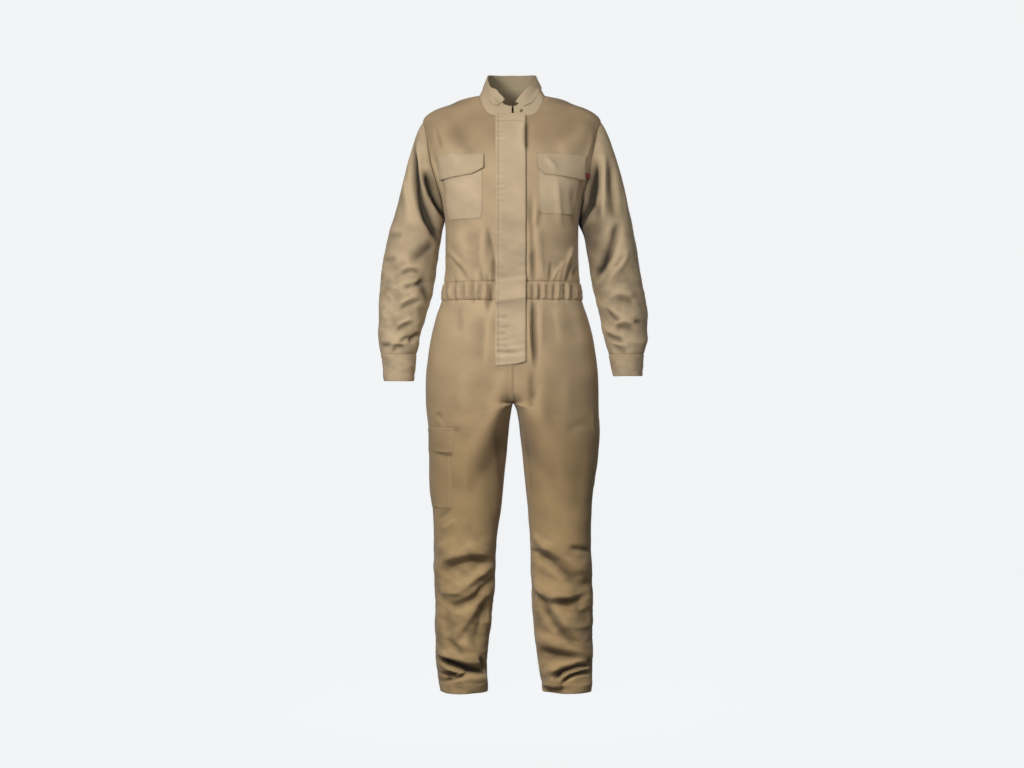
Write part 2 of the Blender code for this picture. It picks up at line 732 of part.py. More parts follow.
def make_sleeves():
    around = steps(0, 1, 14)[:-1]
    rows = np.concatenate([steps(0, 1, 10)[:-1], [1, 1.2, 1.4, 1.6, 1.8, 1.92, 2]])
    for side in SIDES:
        wall("sleeve_" + side, sleeve(side), around, rows, tube=True)
        wall("cuff_" + side, cuff(side), around, steps(0, 1, 3), tube=True)


def make_collar():
    def stand(u, v):
        turn = np.radians(blend(7.5, 359, u))
        return collar(turn, blend(0.02, STAND_SHARE, v))

    def fall(u, v):
        turn = np.radians(blend(24 - 15 * v, 332 + 12.5 * v, u))
        return collar(turn, blend(STAND_SHARE + 0.021, 1, v))

    wall("collar_stand", stand, steps(0, 1, 20), steps(0, 1, 3))
    wall("collar_fall", fall, steps(0, 1, 20), steps(0, 1, 4))


def make_placket():
    """The flap is sewn down along the wearer's right edge and stands off at the other, free edge."""

    def stand_off(u, _v):
        return PLACKET_LIFT * eased((u - 0.25) / 0.75)

    def tape(u, v):
        return zip_surface(u, v) - ZIP_DEPTH * facing(zip_surface, u, v)

    wall("placket", lifted(placket_surface, stand_off), steps(0, 1, 4), steps(0, 1, 18))
    wall("zip", tape, steps(0, 1, 2), steps(0, 1, 13), thickness=ZIP_CLOTH, colour=TAPE)


def make_chest_pockets():
    for side in SIDES:
        pocket = front_patch(side, POCKETS[side], POCKETS[side]["bottom"], POCKET_TOP)
        wall("chest_pocket_" + side, lifted(pocket, level), steps(0, 1, 9), steps(0, 1, 6))
        flap = front_patch(side, FLAPS[side], flap_edge, FLAP_TOP)
        wall("pocket_flap_" + side, lifted(flap, flap_lift), steps(0, 1, 9), steps(0, 1, 4))


def make_thigh_pockets():
    def folded_top(u, v):
        return CLOTH + LAY + 0.002 * (1 - v)

    pocket = thigh_patch("right", THIGH_POCKET_TURNS, THIGH_POCKET)
    wall("thigh_pocket", lifted(pocket, level), steps(0, 1, 11), steps(0, 1, 6))
    flap = thigh_patch("right", (THIGH_POCKET_TURNS[0], THIGH_POCKET_TURNS[1] + 2.3), THIGH_FLAP)
    wall("thigh_pocket_flap", lifted(flap, folded_top), steps(0, 1, 11), steps(0, 1, 3))
    pocket = thigh_patch("left", SIDE_POCKET_TURNS, SIDE_POCKET)
    wall("side_pocket", lifted(pocket, level), steps(0, 1, 8), steps(0, 1, 7))


def make_trims():
    def stud(u, v):
        """Rings round the stud's middle, in the plane across `out`, the way that the neckband faces there."""
        place = collar(math.radians(STUD_TURN) + 0 * u, STUD_SHARE + 0 * u)
        out = place * [1, 1, 0]
        out = out / np.linalg.norm(out, axis=-1, keepdims=True)
        along = np.stack([-out[..., 1], out[..., 0], 0 * u], axis=-1)
        spin = 2 * math.pi * u[..., None]
        ring = np.cos(spin) * along + np.sin(spin) * [0, 0, 1.0]
        return place + STUD_RADIUS * v[..., None] * ring + (LAY + STUD_THICKNESS) * out

    def sunk(u, _v):
        """Half a lay lower than usual, because the panel's facets sink there."""
        return -LAY / 2 + 0 * u

    around = steps(0, 1, 13)[:-1]
    wall("neck_stud", stud, around, steps(0.15, 1, 2), thickness=STUD_THICKNESS, tube=True, colour=STUD)
    tab = front_patch("left", LABEL, LABEL_FOOT, LABEL_HEAD)
    wall("label_tab", lifted(tab, sunk), steps(0, 1, 3), steps(0, 1, 3), colour=TAB)


def main():
    for thing in list(bpy.data.objects):
        bpy.data.objects.remove(thing)
    bpy.context.scene.collection.objects.link(bpy.data.objects.new("suit", None))
    make_bodice()
    make_waistband()
    make_trousers()
    make_sleeves()
    make_collar()
    make_placket()
    make_chest_pockets()
    make_thigh_pockets()
    make_trims()


main()
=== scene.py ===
"""Boiler suit of khaki cotton twill, filled out as it is worn, with no wearer inside.

The file is laid out as a Blender add-on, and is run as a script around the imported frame. Metres, +Z up. The
front faces -Y, and the wearer's right side lies at -X.

Each piece of cloth starts as a plain skin: a function of u, which runs anticlockwise as seen from above, and
v, which runs upwards, worked out from the tables of sections below. Creases, gathers and swells then move
the skin along its own normal, by amounts that depend only on the place in space, so that pieces that meet,
or lie on each other, fold together. The folded skin gets a wall, a rim, thread directions and stitches."""

import math
from functools import cache, partial

import bpy
import numpy as np
from bpy.props import FloatProperty, FloatVectorProperty, PointerProperty
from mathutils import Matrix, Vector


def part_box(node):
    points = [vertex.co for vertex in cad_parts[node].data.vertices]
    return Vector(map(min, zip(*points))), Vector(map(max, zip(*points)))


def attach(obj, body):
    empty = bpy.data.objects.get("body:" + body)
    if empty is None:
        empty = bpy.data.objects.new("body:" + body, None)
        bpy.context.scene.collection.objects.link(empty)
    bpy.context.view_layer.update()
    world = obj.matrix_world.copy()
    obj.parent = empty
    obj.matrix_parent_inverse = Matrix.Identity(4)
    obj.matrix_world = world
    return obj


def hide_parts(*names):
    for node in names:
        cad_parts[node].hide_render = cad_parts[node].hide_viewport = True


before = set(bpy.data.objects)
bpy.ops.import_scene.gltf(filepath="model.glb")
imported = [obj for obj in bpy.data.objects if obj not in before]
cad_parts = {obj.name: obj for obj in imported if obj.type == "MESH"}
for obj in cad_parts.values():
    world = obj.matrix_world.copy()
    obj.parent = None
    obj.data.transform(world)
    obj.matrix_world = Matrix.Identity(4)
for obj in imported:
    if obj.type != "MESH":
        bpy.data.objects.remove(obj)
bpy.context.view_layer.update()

bl_info = {
    "name": "Boiler suit",
    "version": (1, 0, 0),
    "blender": (4, 5, 0),
    "location": "3D View > Sidebar > Boiler suit",
    "description": "Makes the cloth, stitches and trims of a khaki boiler suit around its frame",
    "category": "Object",
}

# ---- Sizes taken from the frame ----
HEM = min(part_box("trouser_front_" + side)[0].z for side in ("right", "left"))
CUFF_END = {side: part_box("cuff_" + side)[0].z for side in ("right", "left")}
WAIST_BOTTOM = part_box("waistband")[0].z
WAIST_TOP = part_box("waistband")[1].z
PLACKET_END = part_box("placket")[0].z
ZIP_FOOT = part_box("zip")[0].z
ZIP_TOP = min(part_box("zip")[1].z, -0.036)

# ---- Driving dimensions ----
SEAM = 0.0003
LAY = 0.0006
TUCK = -0.0012
SIDES = {"right": -1, "left": 1}
NECK_HALF_WIDTH = 0.078
NECK_FRONT = 0.0825
NECK_BACK = 0.0605
NECK_SQUARENESS = {"front": 4.2, "back": 2.2}
SHOULDER_TIP = 0.2170
SHOULDER_HEIGHT = -0.042
SHOULDER_LOW = -0.044
NECK_TOP = 0.0245
UNDERARM = -0.225
ARMHOLE_FRONT = {"right": 0.041, "left": 0.050}
ARMHOLE_BACK = 0.058
ARMHOLE_FULLNESS = 0.15
SHOULDER_ARCH = 0.012
YOKE_ROW = {"front": -0.062, "back": -0.050}
RISE_TOP = -0.640
CROTCH = -0.7256
FORK_END = -0.800
LEG_LEVEL = -0.930
FORK_SQUARENESS = 6.0
RISE_CURVE = 2.4
INSEAM_CURVE = 1.4
PARTING_CURVE = 2.3
FORK_DROP = 0.12
FORK_POWER = 0.8
LEG_START = 0.030
LEG_BLEND = 0.130
ZIP_CENTRE = -0.002
ZIP_OPENING = 0.003
ZIP_END = -0.620
RISE_LAP = {"right": 0.0030, "left": 0.0010}
ZIP_TAPE = 0.028
ZIP_DEPTH = 0.0036
PLACKET_RIGHT = -0.039
PLACKET_LEFT = 0.0317
CROSS_SEAM = -0.0500
PLACKET_TOP = -0.0325
STAND_SHARE = 0.42
COLLAR_TAPER = 0.019
COLLAR_LEAN = {"front": 0.0135, "back": 0.006}
STAND_TURNS = (3.4, 359.2)
FALL_FOOT_TURNS = (20, 334)
FALL_SPREAD = (-12.5, 11.5)
CAP_BASE = -0.304
CAP_ROUND = 0.0190
CAP_EASE = 0.012
CAP_LEAN = {"right": 0.014, "left": 0.006}
CAP_HANDLE_SIDE = 0.33
CAP_HANDLE_TOP = 0.15
CUFF_TOP = -0.6080
POCKET_TOP = -0.138
FLAP_TOP = -0.132
FLAP_LOW = -0.1895
FLAP_CUT = 0.0135
FLAP_SLOPE = 0.010
POCKET_CORNER = 0.014
POCKET_CORNER_SHARE = 0.15
PLACKET_FOOT_RISE = 0.010
PLACKET_HEAD_DROP = 0.006
THIGH_POCKET_TURNS = (-32, 66)
THIGH_POCKET = (-0.9789, -0.7870)
THIGH_FLAP_TURNS = (THIGH_POCKET_TURNS[0], THIGH_POCKET_TURNS[1] + 2.3)
THIGH_FLAP = (-0.8430, -0.7840)
SIDE_POCKET_TURNS = (-50, 16)
SIDE_POCKET = (-0.9300, -0.7640)
STUD_TURN = 15
STUD_SHARE = 0.20
STUD_RADIUS = 0.0042
RISE_SHARE = 1 - (WAIST_BOTTOM - FORK_END) / (WAIST_BOTTOM - HEM)

# The eye that the crease tables are seen by: 5 m in front of the suit, at the height of its middle.
EYE_DISTANCE = 5.0
EYE_HEIGHT = -0.6794
LENS = 72.2

# Sewing.
STITCH_PITCH = 0.0033
STITCH_LENGTH = 0.0026
STITCH_RADIUS = 0.00034
SEAM_SINK = 0.0009
SEAM_SPREAD = 0.0030
SEAM_ROWS = (0.0022, 0.0085)
POCKET_ROWS = (0.0018, 0.0075)

# Folds. CALM is how far from a sewn edge they reach their full height. Facets are planes of this height and
# width, and each sleeve is fuller at the armpit, by this much at this level.
CALM = {"bodice": 0.014, "rise": 0.018, "sleeve": 0.010}
FACETS = {"torso": (0.0085, 0.105), "sleeve": (0.0050, 0.085)}
ARMPIT = {"right": (0.0080, -0.268), "left": (0.0125, -0.282)}
ARMPIT_SPREAD = 0.028

# Painted shade in the hollows and a painted highlight on the ridges, by depth of hollow. A crease deeper
# than DEEP_CREASE adds a share of its own depth as painted shade. The side of a sleeve that lies against the
# body adds INNER_SHADE, a painted shadow of the body, between its ends: where each end starts, and how long
# it takes.
HOLLOW_SIZES = (3, 6)
HOLLOW_RANGE = (-0.0090, 0.0036)
DEEP_CREASE = -0.0165
DEEP_SHARE = 0.60
INNER_SHADE = {"right": -0.0060, "left": -0.0110}
INNER_SHADE_ENDS = ((-0.52, 0.20), (-0.15, 0.06))
DARKEST_HOLLOW = -0.0158
# Painted shade and painted highlight: the colour is multiplied by the lower level in the darkest hollow, and
# by the higher one on a ridge.
PAINTED_SHADE_LEVELS = (0.10, 1.13)
# Painted shade: darker, more saturated colour down the legs and over the yoke, blended in between these
# heights.
PAINTED_SHADE_BANDS = {"Leg_shade": (-0.42, -0.92), "Yoke_shade": (-0.15, -0.08)}


def section_table(names, rows):
    """One array for each named column, with the rows sorted so that the first column rises. Lengths are given
    in millimetres, and a squareness or a turn as it is."""
    columns = zip(names.split(), np.array(sorted(rows), float).T)
    return {name: column / (1 if name in ("squareness", "turn") else 1000) for name, column in columns}


POCKETS = {
    "right": {"inner": 0.0710, "outer_foot": 0.1500, "outer_head": 0.1725, "bottom": -0.2860},
    "left": {"inner": 0.0650, "outer_foot": 0.1480, "outer_head": 0.1700, "bottom": -0.2740},
}
FLAPS = {
    "right": {"inner": 0.0675, "outer_foot": 0.1735, "outer_head": 0.1765, "corner": 0.25},
    "left": {"inner": 0.0615, "outer_foot": 0.1710, "outer_head": 0.1740, "corner": 0.12},
}
LABEL = {"inner": 0.1722, "outer_foot": 0.1840, "outer_head": 0.1840}
LABEL_HEIGHTS = (-0.1845, -0.1725)

# Sections in millimetres, first of the body, from the neck to the fork. Squareness 2 makes an ellipse, and
# more makes a boxier shape.
BODY = section_table("height half_width front back squareness", [
    (24.5, 50, 49, 56, 2),
    (20.5, 78, 58, 62, 2),
    (16.5, 100, 61, 65, 2),
    (11.5, 124, 64, 69, 2),
    (0, 150, 70, 77, 2),
    (-12, 183, 74.5, 84, 2),
    (-24, 204, 79, 90, 2),
    (-36, 215, 84, 95.5, 2),
    (-44, 217.5, 87.5, 98.5, 2),
    (-60, 218, 94, 104, 2.05),
    (-100, 214, 109, 113, 2.15),
    (-140, 206, 120, 119, 2.25),
    (-180, 191.5, 127, 121, 2.35),
    (-225, 173, 130, 119, 2.45),
    (-260, 166, 128, 116, 2.5),
    (-304.4, 161, 122, 110, 2.5),
    (-353, 161, 115, 105, 2.45),
    (-400, 162.5, 110, 103, 2.4),
    (-433.4, 166, 110, 105, 2.35),
    (-455.5, 169, 111, 107, 2.3),
    (-477.3, 171.5, 112, 110, 2.3),
    (-520, 185, 118, 121, 2.3),
    (-572.5, 197.5, 123, 133, 2.3),
    (-620, 204.5, 126, 139, 2.3),
    (-670, 209, 128, 141, 2.25),
    (-720, 209.8, 129, 139, 2.2),
    (-810, 210, 126, 132, 2.2),
])

# Each leg. Inner and outer are how far the two seams are from the middle, on the leg's own side.
LEGS = {"right": section_table("height inner outer front back", [
    (-640, -9, 206, 124, 140),
    (-715, -7, 207.5, 117, 131.2),
    (-725.6, -2.4, 208, 116, 130),
    (-743, 1.5, 205, 113, 126),
    (-800, 8, 201, 103, 112),
    (-860, 14, 199.7, 95, 101),
    (-930, 21.2, 199, 88, 90),
    (-986, 26.8, 193, 85, 82),
    (-1059, 36.5, 189.9, 84, 74),
    (-1157, 41.4, 189.5, 76, 77),
    (-1254, 48.7, 187.5, 69, 79),
    (-1351, 60, 183, 65, 77),
    (-1424.5, 59, 174.5, 66, 74),
]), "left": section_table("height inner outer front back", [
    (-640, -4, 206, 124, 140),
    (-715, -2, 209.5, 117, 131.2),
    (-725.6, 3, 210, 116, 130),
    (-743, 11, 211.8, 113, 126),
    (-800, 19, 211, 103, 112),
    (-860, 26.5, 206.5, 95, 101),
    (-930, 33.5, 198.5, 88, 90),
    (-986, 39, 194.8, 85, 82),
    (-1059, 43.8, 192.4, 84, 74),
    (-1157, 46.3, 194.8, 76, 77),
    (-1254, 51.1, 197.2, 69, 79),
    (-1351, 63.3, 197.5, 65, 77),
    (-1424.5, 75.5, 192.4, 66, 74),
])}

# Each sleeve. Out is from the suit's middle to the sleeve's middle, and ahead is towards -Y.
SLEEVES = {"right": section_table("height out ahead half_width half_depth", [
    (-250, 226.8, 0, 56.3, 70),
    (-304.4, 233.8, 2, 63.3, 72),
    (-377.4, 246.6, 6, 66, 71),
    (-450.5, 255.8, 13, 64, 69),
    (-523.5, 266.3, 27, 56, 63),
    (-572.2, 273.5, 38, 50, 57),
    (-607.5, 272.5, 46, 43.5, 48),
    (-672, 271.5, 58, 36, 40),
]), "left": section_table("height out ahead half_width half_depth", [
    (-250, 229, 0, 54, 72),
    (-304.4, 235, 2, 60, 74.2),
    (-377.4, 245.9, 6, 61.2, 73.5),
    (-450.5, 258.1, 13, 61.2, 71.5),
    (-523.5, 271.5, 27, 57.2, 65.2),
    (-572.2, 275.2, 38, 51.5, 58.8),
    (-607.5, 275.7, 46, 42.5, 49.2),
    (-660, 279, 56, 34.5, 41),
])}

# The collar's upper edge, by the turn in degrees from the middle of the front, above zero on the left.
COLLAR_EDGE = section_table("turn height", [
    (-180, 79),
    (-130, 77),
    (-90, 69),
    (-73, 58),
    (-50, 35.5),
    (-35, 30),
    (-26, 18.8),
    (-17, 8),
    (-14.5, 3),
    (0, -3),
    (7, -2),
    (13.8, 9.3),
    (28, 27.5),
    (56, 45),
    (75, 59),
    (90, 69),
    (130, 77),
    (180, 79),
])

# ---- Creases ----
# Every row is one ridge, or one trough where its lift is below zero. Its line runs from (x1, z1) past (x2,
# z2) to (x3, z3), in millimetres as the eye sees them in the plane of the side seams. Lift and the two
# widths are in millimetres too: `over` lies above a line that runs to the right, and to the right of one
# that runs down. Sharp goes from 0, a soft roll, to 1, a pressed edge.
BODICE_CREASES = [
    (-54, -285, -56, -350, -52, -430, -5.5, 7, 7, 0.3),
    (-69, -300, -71, -360, -69, -430, 4, 8, 8, 0.2),
    (44, -200, 46, -320, 43, -435, -5.5, 6, 6, 0.3),
    (57, -215, 58, -320, 54, -430, 4, 7, 8, 0.2),
    # Wearer's right shoulder, running from the seam to the chest.
    (-196, -24, -158, -92, -112, -166, 11, 20, 26, 0.7),
    (-150, -40, -120, -90, -88, -136, -3.6, 26, 34, 0.2),
    (36, -34, 35, -76, 36, -116, -7, 5, 6, 0.3),
    (-183, -54, -175, -85, -168, -112, -3, 5, 5, 0.2),
    (-190, -120, -176, -175, -160, -228, -4.5, 12, 7, 0.1),
    # Wearer's right, under the pocket and down to the waist.
    (-68, -278, -44, -385, -54, -475, -6, 4, 6, 0.4),
    (-60, -290, -52, -350, -58, -420, 4.5, 6, 8, 0.1),
    (-76, -388, -68, -445, -54, -520, -6.8, 4, 5, 0.5),
    (-155, -356, -122, -404, -95, -434, -3.9, 6, 4, 0.5),
    (-160, -340, -140, -372, -120, -392, 3.9, 9, 7, 0.1),
    (-167, -360, -161, -366, -152, -372, -4.5, 4, 4, 0.3),
    (-124, -280, -118, -345, -106, -410, 4.5, 22, 24, 0.1),
    # Wearer's left shoulder and chest.
    (196, -40, 150, -90, 100, -118, 7, 26, 20, 0.5),
    (196, -60, 186, -110, 172, -150, 3.3, 8, 10, 0.1),
    (80, -122, 92, -142, 109, -160, 3.9, 8, 7, 0.2),
    (105, -178, 112, -240, 121, -300, 3.9, 8, 14, 0.1),
    (73, -246, 66, -280, 57, -310, -3.3, 7, 7, 0.2),
    (145, -196, 150, -250, 152, -300, -3, 10, 12, 0),
    # Wearer's left, gathered into the waist.
    (41, -270, 42, -350, 41, -432, 6, 6, 5, 0.2),
    (54, -340, 53, -390, 53, -434, -6.8, 4, 4, 0.4),
    (64, -292, 68, -365, 74, -438, 4.5, 7, 9, 0.1),
    (95, -380, 93, -408, 92, -434, -5.2, 4, 4, 0.4),
    (117, -390, 104, -410, 94, -432, 4.5, 5, 4, 0.4),
    (128, -372, 118, -400, 110, -434, 4.5, 5, 6, 0.2),
    (156, -336, 134, -382, 120, -432, 5.4, 8, 7, 0.2),
    (150, -388, 138, -410, 132, -434, -4.8, 4, 5, 0.4),
    (164, -392, 156, -404, 148, -414, -4.5, 5, 5, 0.3),
]

WAIST_CREASES = [
    # Across the elastic, wearer's right: shallow, with one deep pinch beside the placket.
    (-163, -420, -162, -455, -163, -480, -5.1, 5, 5, 0.4),
    (-151, -434, -151, -455, -152, -476, 4, 5, 5, 0.2),
    (-141, -412, -140, -455, -138, -484, -5.5, 5, 5, 0.4),
    (-129, -436, -130, -455, -129, -480, 3.7, 5, 5, 0.2),
    (-120, -428, -119, -455, -121, -478, -4, 5, 5, 0.4),
    (-109, -434, -108, -455, -110, -474, 4, 5, 5, 0.2),
    (-98, -404, -96, -455, -97, -490, -5.9, 5, 5, 0.5),
    (-87, -430, -86, -455, -87, -476, 4.2, 5, 5, 0.2),
    (-78, -424, -77, -455, -79, -486, -5.1, 5, 5, 0.4),
    (-67, -420, -67, -455, -66, -480, 5.1, 5, 5, 0.3),
    (-66, -404, -57, -448, -55, -500, -10, 5, 5, 0.6),
    (-48, -410, -51, -450, -54, -486, -8.5, 5, 5, 0.5),
    # Across the elastic, wearer's left: even gathers.
    (50, -430, 51, -455, 50, -482, -5, 4, 4, 0.5),
    (59, -430, 60, -455, 58, -478, 4, 4, 4, 0.3),
    (67, -430, 68, -455, 66, -480, -5, 4, 4, 0.5),
    (76, -430, 76, -455, 77, -480, 3.8, 5, 5, 0.2),
    (88, -434, 87, -455, 89, -478, -2.5, 4, 4, 0.3),
    (103, -428, 103, -455, 101, -480, -5, 4, 4, 0.5),
    (112, -430, 111, -455, 112, -480, 4, 4, 5, 0.2),
    (128, -430, 127, -455, 129, -480, -4.5, 4, 4, 0.5),
    (136, -430, 135, -455, 137, -480, 3.2, 4, 4, 0.2),
    (146, -434, 146, -455, 147, -478, -3.2, 4, 4, 0.4),
    (157, -436, 156, -455, 158, -476, 2.5, 4, 4, 0.2),
]

RISE_CREASES = [
    # Puckers at the storm flap's foot.
    (-40, -512, -26, -515, -6, -514, -2.2, 4, 4, 0.3),
    (-40, -533, -24, -538, -2, -536, -2.6, 4, 4, 0.3),
    (-40, -552, -26, -556, -8, -552, -2.4, 4, 4, 0.3),
    (-40, -570, -24, -573, 2, -566, -2.6, 4, 4, 0.3),
    (-40, -584, -26, -587, -4, -590, -2.6, 4, 4, 0.3),
    (-38, -604, -14, -600, 22, -604, -2.8, 4, 4, 0.3),
    # Below the waist, wearer's right.
    (-54, -492, -58, -560, -64, -640, 4.3, 6, 7, 0.1),
    (-83, -496, -78, -570, -76, -640, -2.4, 14, 22, 0),
    (-130, -486, -128, -520, -124, -560, -2.2, 9, 9, 0),
    # Below the waist, wearer's left.
    (50, -470, 54, -550, 58, -660, -12, 5, 5, 0.5),
    (66, -482, 70, -540, 70, -600, 4.8, 8, 6, 0.2),
    (41, -500, 42, -560, 44, -620, 3.1, 5, 5, 0.1),
    (104, -482, 112, -540, 118, -600, 2.9, 14, 10, 0),
    (134, -474, 146, -530, 156, -610, -1.6, 16, 20, 0),
    # Round the fork.
    (68, -645, 60, -690, 48, -720, -3.6, 8, 8, 0.1),
    (52, -640, 47, -700, 40, -760, -4.8, 7, 8, 0.2),
    (62, -620, 66, -705, 78, -790, 4.6, 14, 10, 0.2),
    (-14, -640, -30, -700, -50, -790, 4.2, 12, 18, 0.4),
    (-120, -640, -116, -700, -128, -760, 2.2, 20, 18, 0),
    (126, -640, 132, -710, 122, -790, 2.2, 18, 20, 0),
]

THIGH_CREASES = [
    # Wearer's right thigh, round the tool pocket.
    (-186, -748, -178, -756, -166, -760, -3, 6, 6, 0.2),
    (-184, -760, -174, -775, -165, -790, 2.4, 6, 6, 0.2),
    (-170, -789, -146, -791, -122, -790, -2.6, 5, 7, 0.2),
    (-185, -838, -163, -846, -141, -847, 3, 4, 4, 0.4),
    (-183, -846, -160, -854, -140, -853, -2.6, 4, 4, 0.4),
    (-46, -760, -30, -860, -26, -980, -3, 12, 12, 0),
    (-86, -790, -80, -900, -76, -1000, 2.2, 22, 22, 0),
    (-183, -1010, -164, -994, -150, -984, -4, 6, 6, 0.2),
    (-176, -1030, -150, -1022, -130, -1004, 2.6, 7, 7, 0.1),
    # Wearer's left thigh.
    (132, -796, 156, -782, 196, -770, -2.2, 14, 12, 0),
    (198, -735, 197, -780, 207, -818, 2, 4, 5, 0.2),
    (70, -800, 80, -900, 92, -1000, 2.2, 22, 22, 0),
    (34, -790, 42, -880, 50, -960, -2.4, 12, 12, 0),
    (160, -850, 158, -920, 150, -1000, -1.8, 18, 16, 0),
]

# Lower legs, where the cloth stacks up over the foot.
SHIN_CREASES = {"right": [
    (-118, -1064, -88, -1088, -52, -1100, 5.4, 13, 8, 0.9),
    (-120, -1020, -96, -1044, -56, -1064, -2.7, 17, 15, 0.1),
    (-188, -1124, -120, -1092, -48, -1100, 5.4, 22, 9, 0.9),
    (-186, -1146, -114, -1114, -46, -1116, -10.9, 10, 18, 0.9),
    (-188, -1166, -150, -1188, -110, -1172, 8.8, 15, 8, 0.9),
    (-124, -1180, -92, -1154, -46, -1120, 8.8, 11, 9, 0.9),
    (-166, -1208, -110, -1210, -42, -1142, -10.2, 8, 12, 0.9),
    (-78, -1204, -110, -1252, -148, -1304, 8.8, 9, 22, 0.9),
    (-52, -1196, -78, -1262, -96, -1334, -7.4, 15, 13, 0.9),
    (-178, -1214, -168, -1270, -158, -1326, 4.1, 11, 13, 0.9),
    (-122, -1288, -100, -1334, -68, -1376, 9.5, 10, 13, 0.9),
    (-164, -1292, -138, -1318, -110, -1348, -5.2, 8, 8, 0.4),
    (-180, -1332, -130, -1350, -60, -1368, 11.9, 15, 7, 0.9),
    (-184, -1342, -130, -1366, -52, -1382, -18.5, 7, 7, 0.7),
    (-166, -1364, -138, -1380, -106, -1386, 7.8, 4, 4, 0.4),
    (-172, -1384, -152, -1388, -134, -1382, -14.3, 4, 5, 0.5),
    (-176, -1400, -134, -1396, -98, -1372, -10.4, 4, 4, 0.5),
    (-166, -1408, -120, -1400, -60, -1392, 6.8, 7, 11, 0.9),
    (-86, -1340, -74, -1358, -60, -1374, -13, 6, 6, 0.5),
    (-186, -1080, -160, -1070, -130, -1052, 3.5, 13, 11, 0.9),
], "left": [
    (46, -1040, 70, -1068, 106, -1092, 7.4, 12, 9, 0.9),
    (44, -1082, 54, -1086, 66, -1090, -5.2, 5, 5, 0.3),
    (60, -1070, 120, -1096, 184, -1150, 5.4, 24, 11, 0.9),
    (46, -1092, 100, -1116, 178, -1182, -12.2, 12, 11, 0.9),
    (54, -1146, 96, -1196, 182, -1182, 11.5, 22, 8, 0.9),
    (98, -1202, 140, -1208, 184, -1192, -8.8, 7, 13, 0.9),
    (134, -1076, 168, -1082, 200, -1084, -5.8, 6, 8, 0.3),
    (86, -1190, 130, -1262, 200, -1344, 9.5, 15, 9, 0.9),
    (72, -1212, 106, -1266, 154, -1314, -7.3, 9, 9, 0.6),
    (56, -1284, 104, -1314, 152, -1324, 6.1, 15, 9, 0.9),
    (60, -1330, 124, -1342, 200, -1352, -13.6, 9, 13, 0.9),
    (76, -1374, 128, -1374, 194, -1356, 12.8, 14, 9, 0.9),
    (106, -1404, 130, -1376, 210, -1362, -18.5, 7, 6, 0.7),
    (116, -1408, 144, -1384, 206, -1372, 4.5, 3, 3, 0.3),
    (120, -1418, 148, -1388, 206, -1380, -11.7, 4, 5, 0.6),
    (70, -1414, 100, -1426, 136, -1414, -11.7, 6, 8, 0.3),
    (182, -1354, 194, -1353, 208, -1350, -6.5, 4, 4, 0.4),
    (150, -1216, 170, -1242, 190, -1266, -4.9, 11, 11, 0.9),
    (60, -1110, 64, -1180, 70, -1250, 3.3, 11, 9, 0.9),
]}

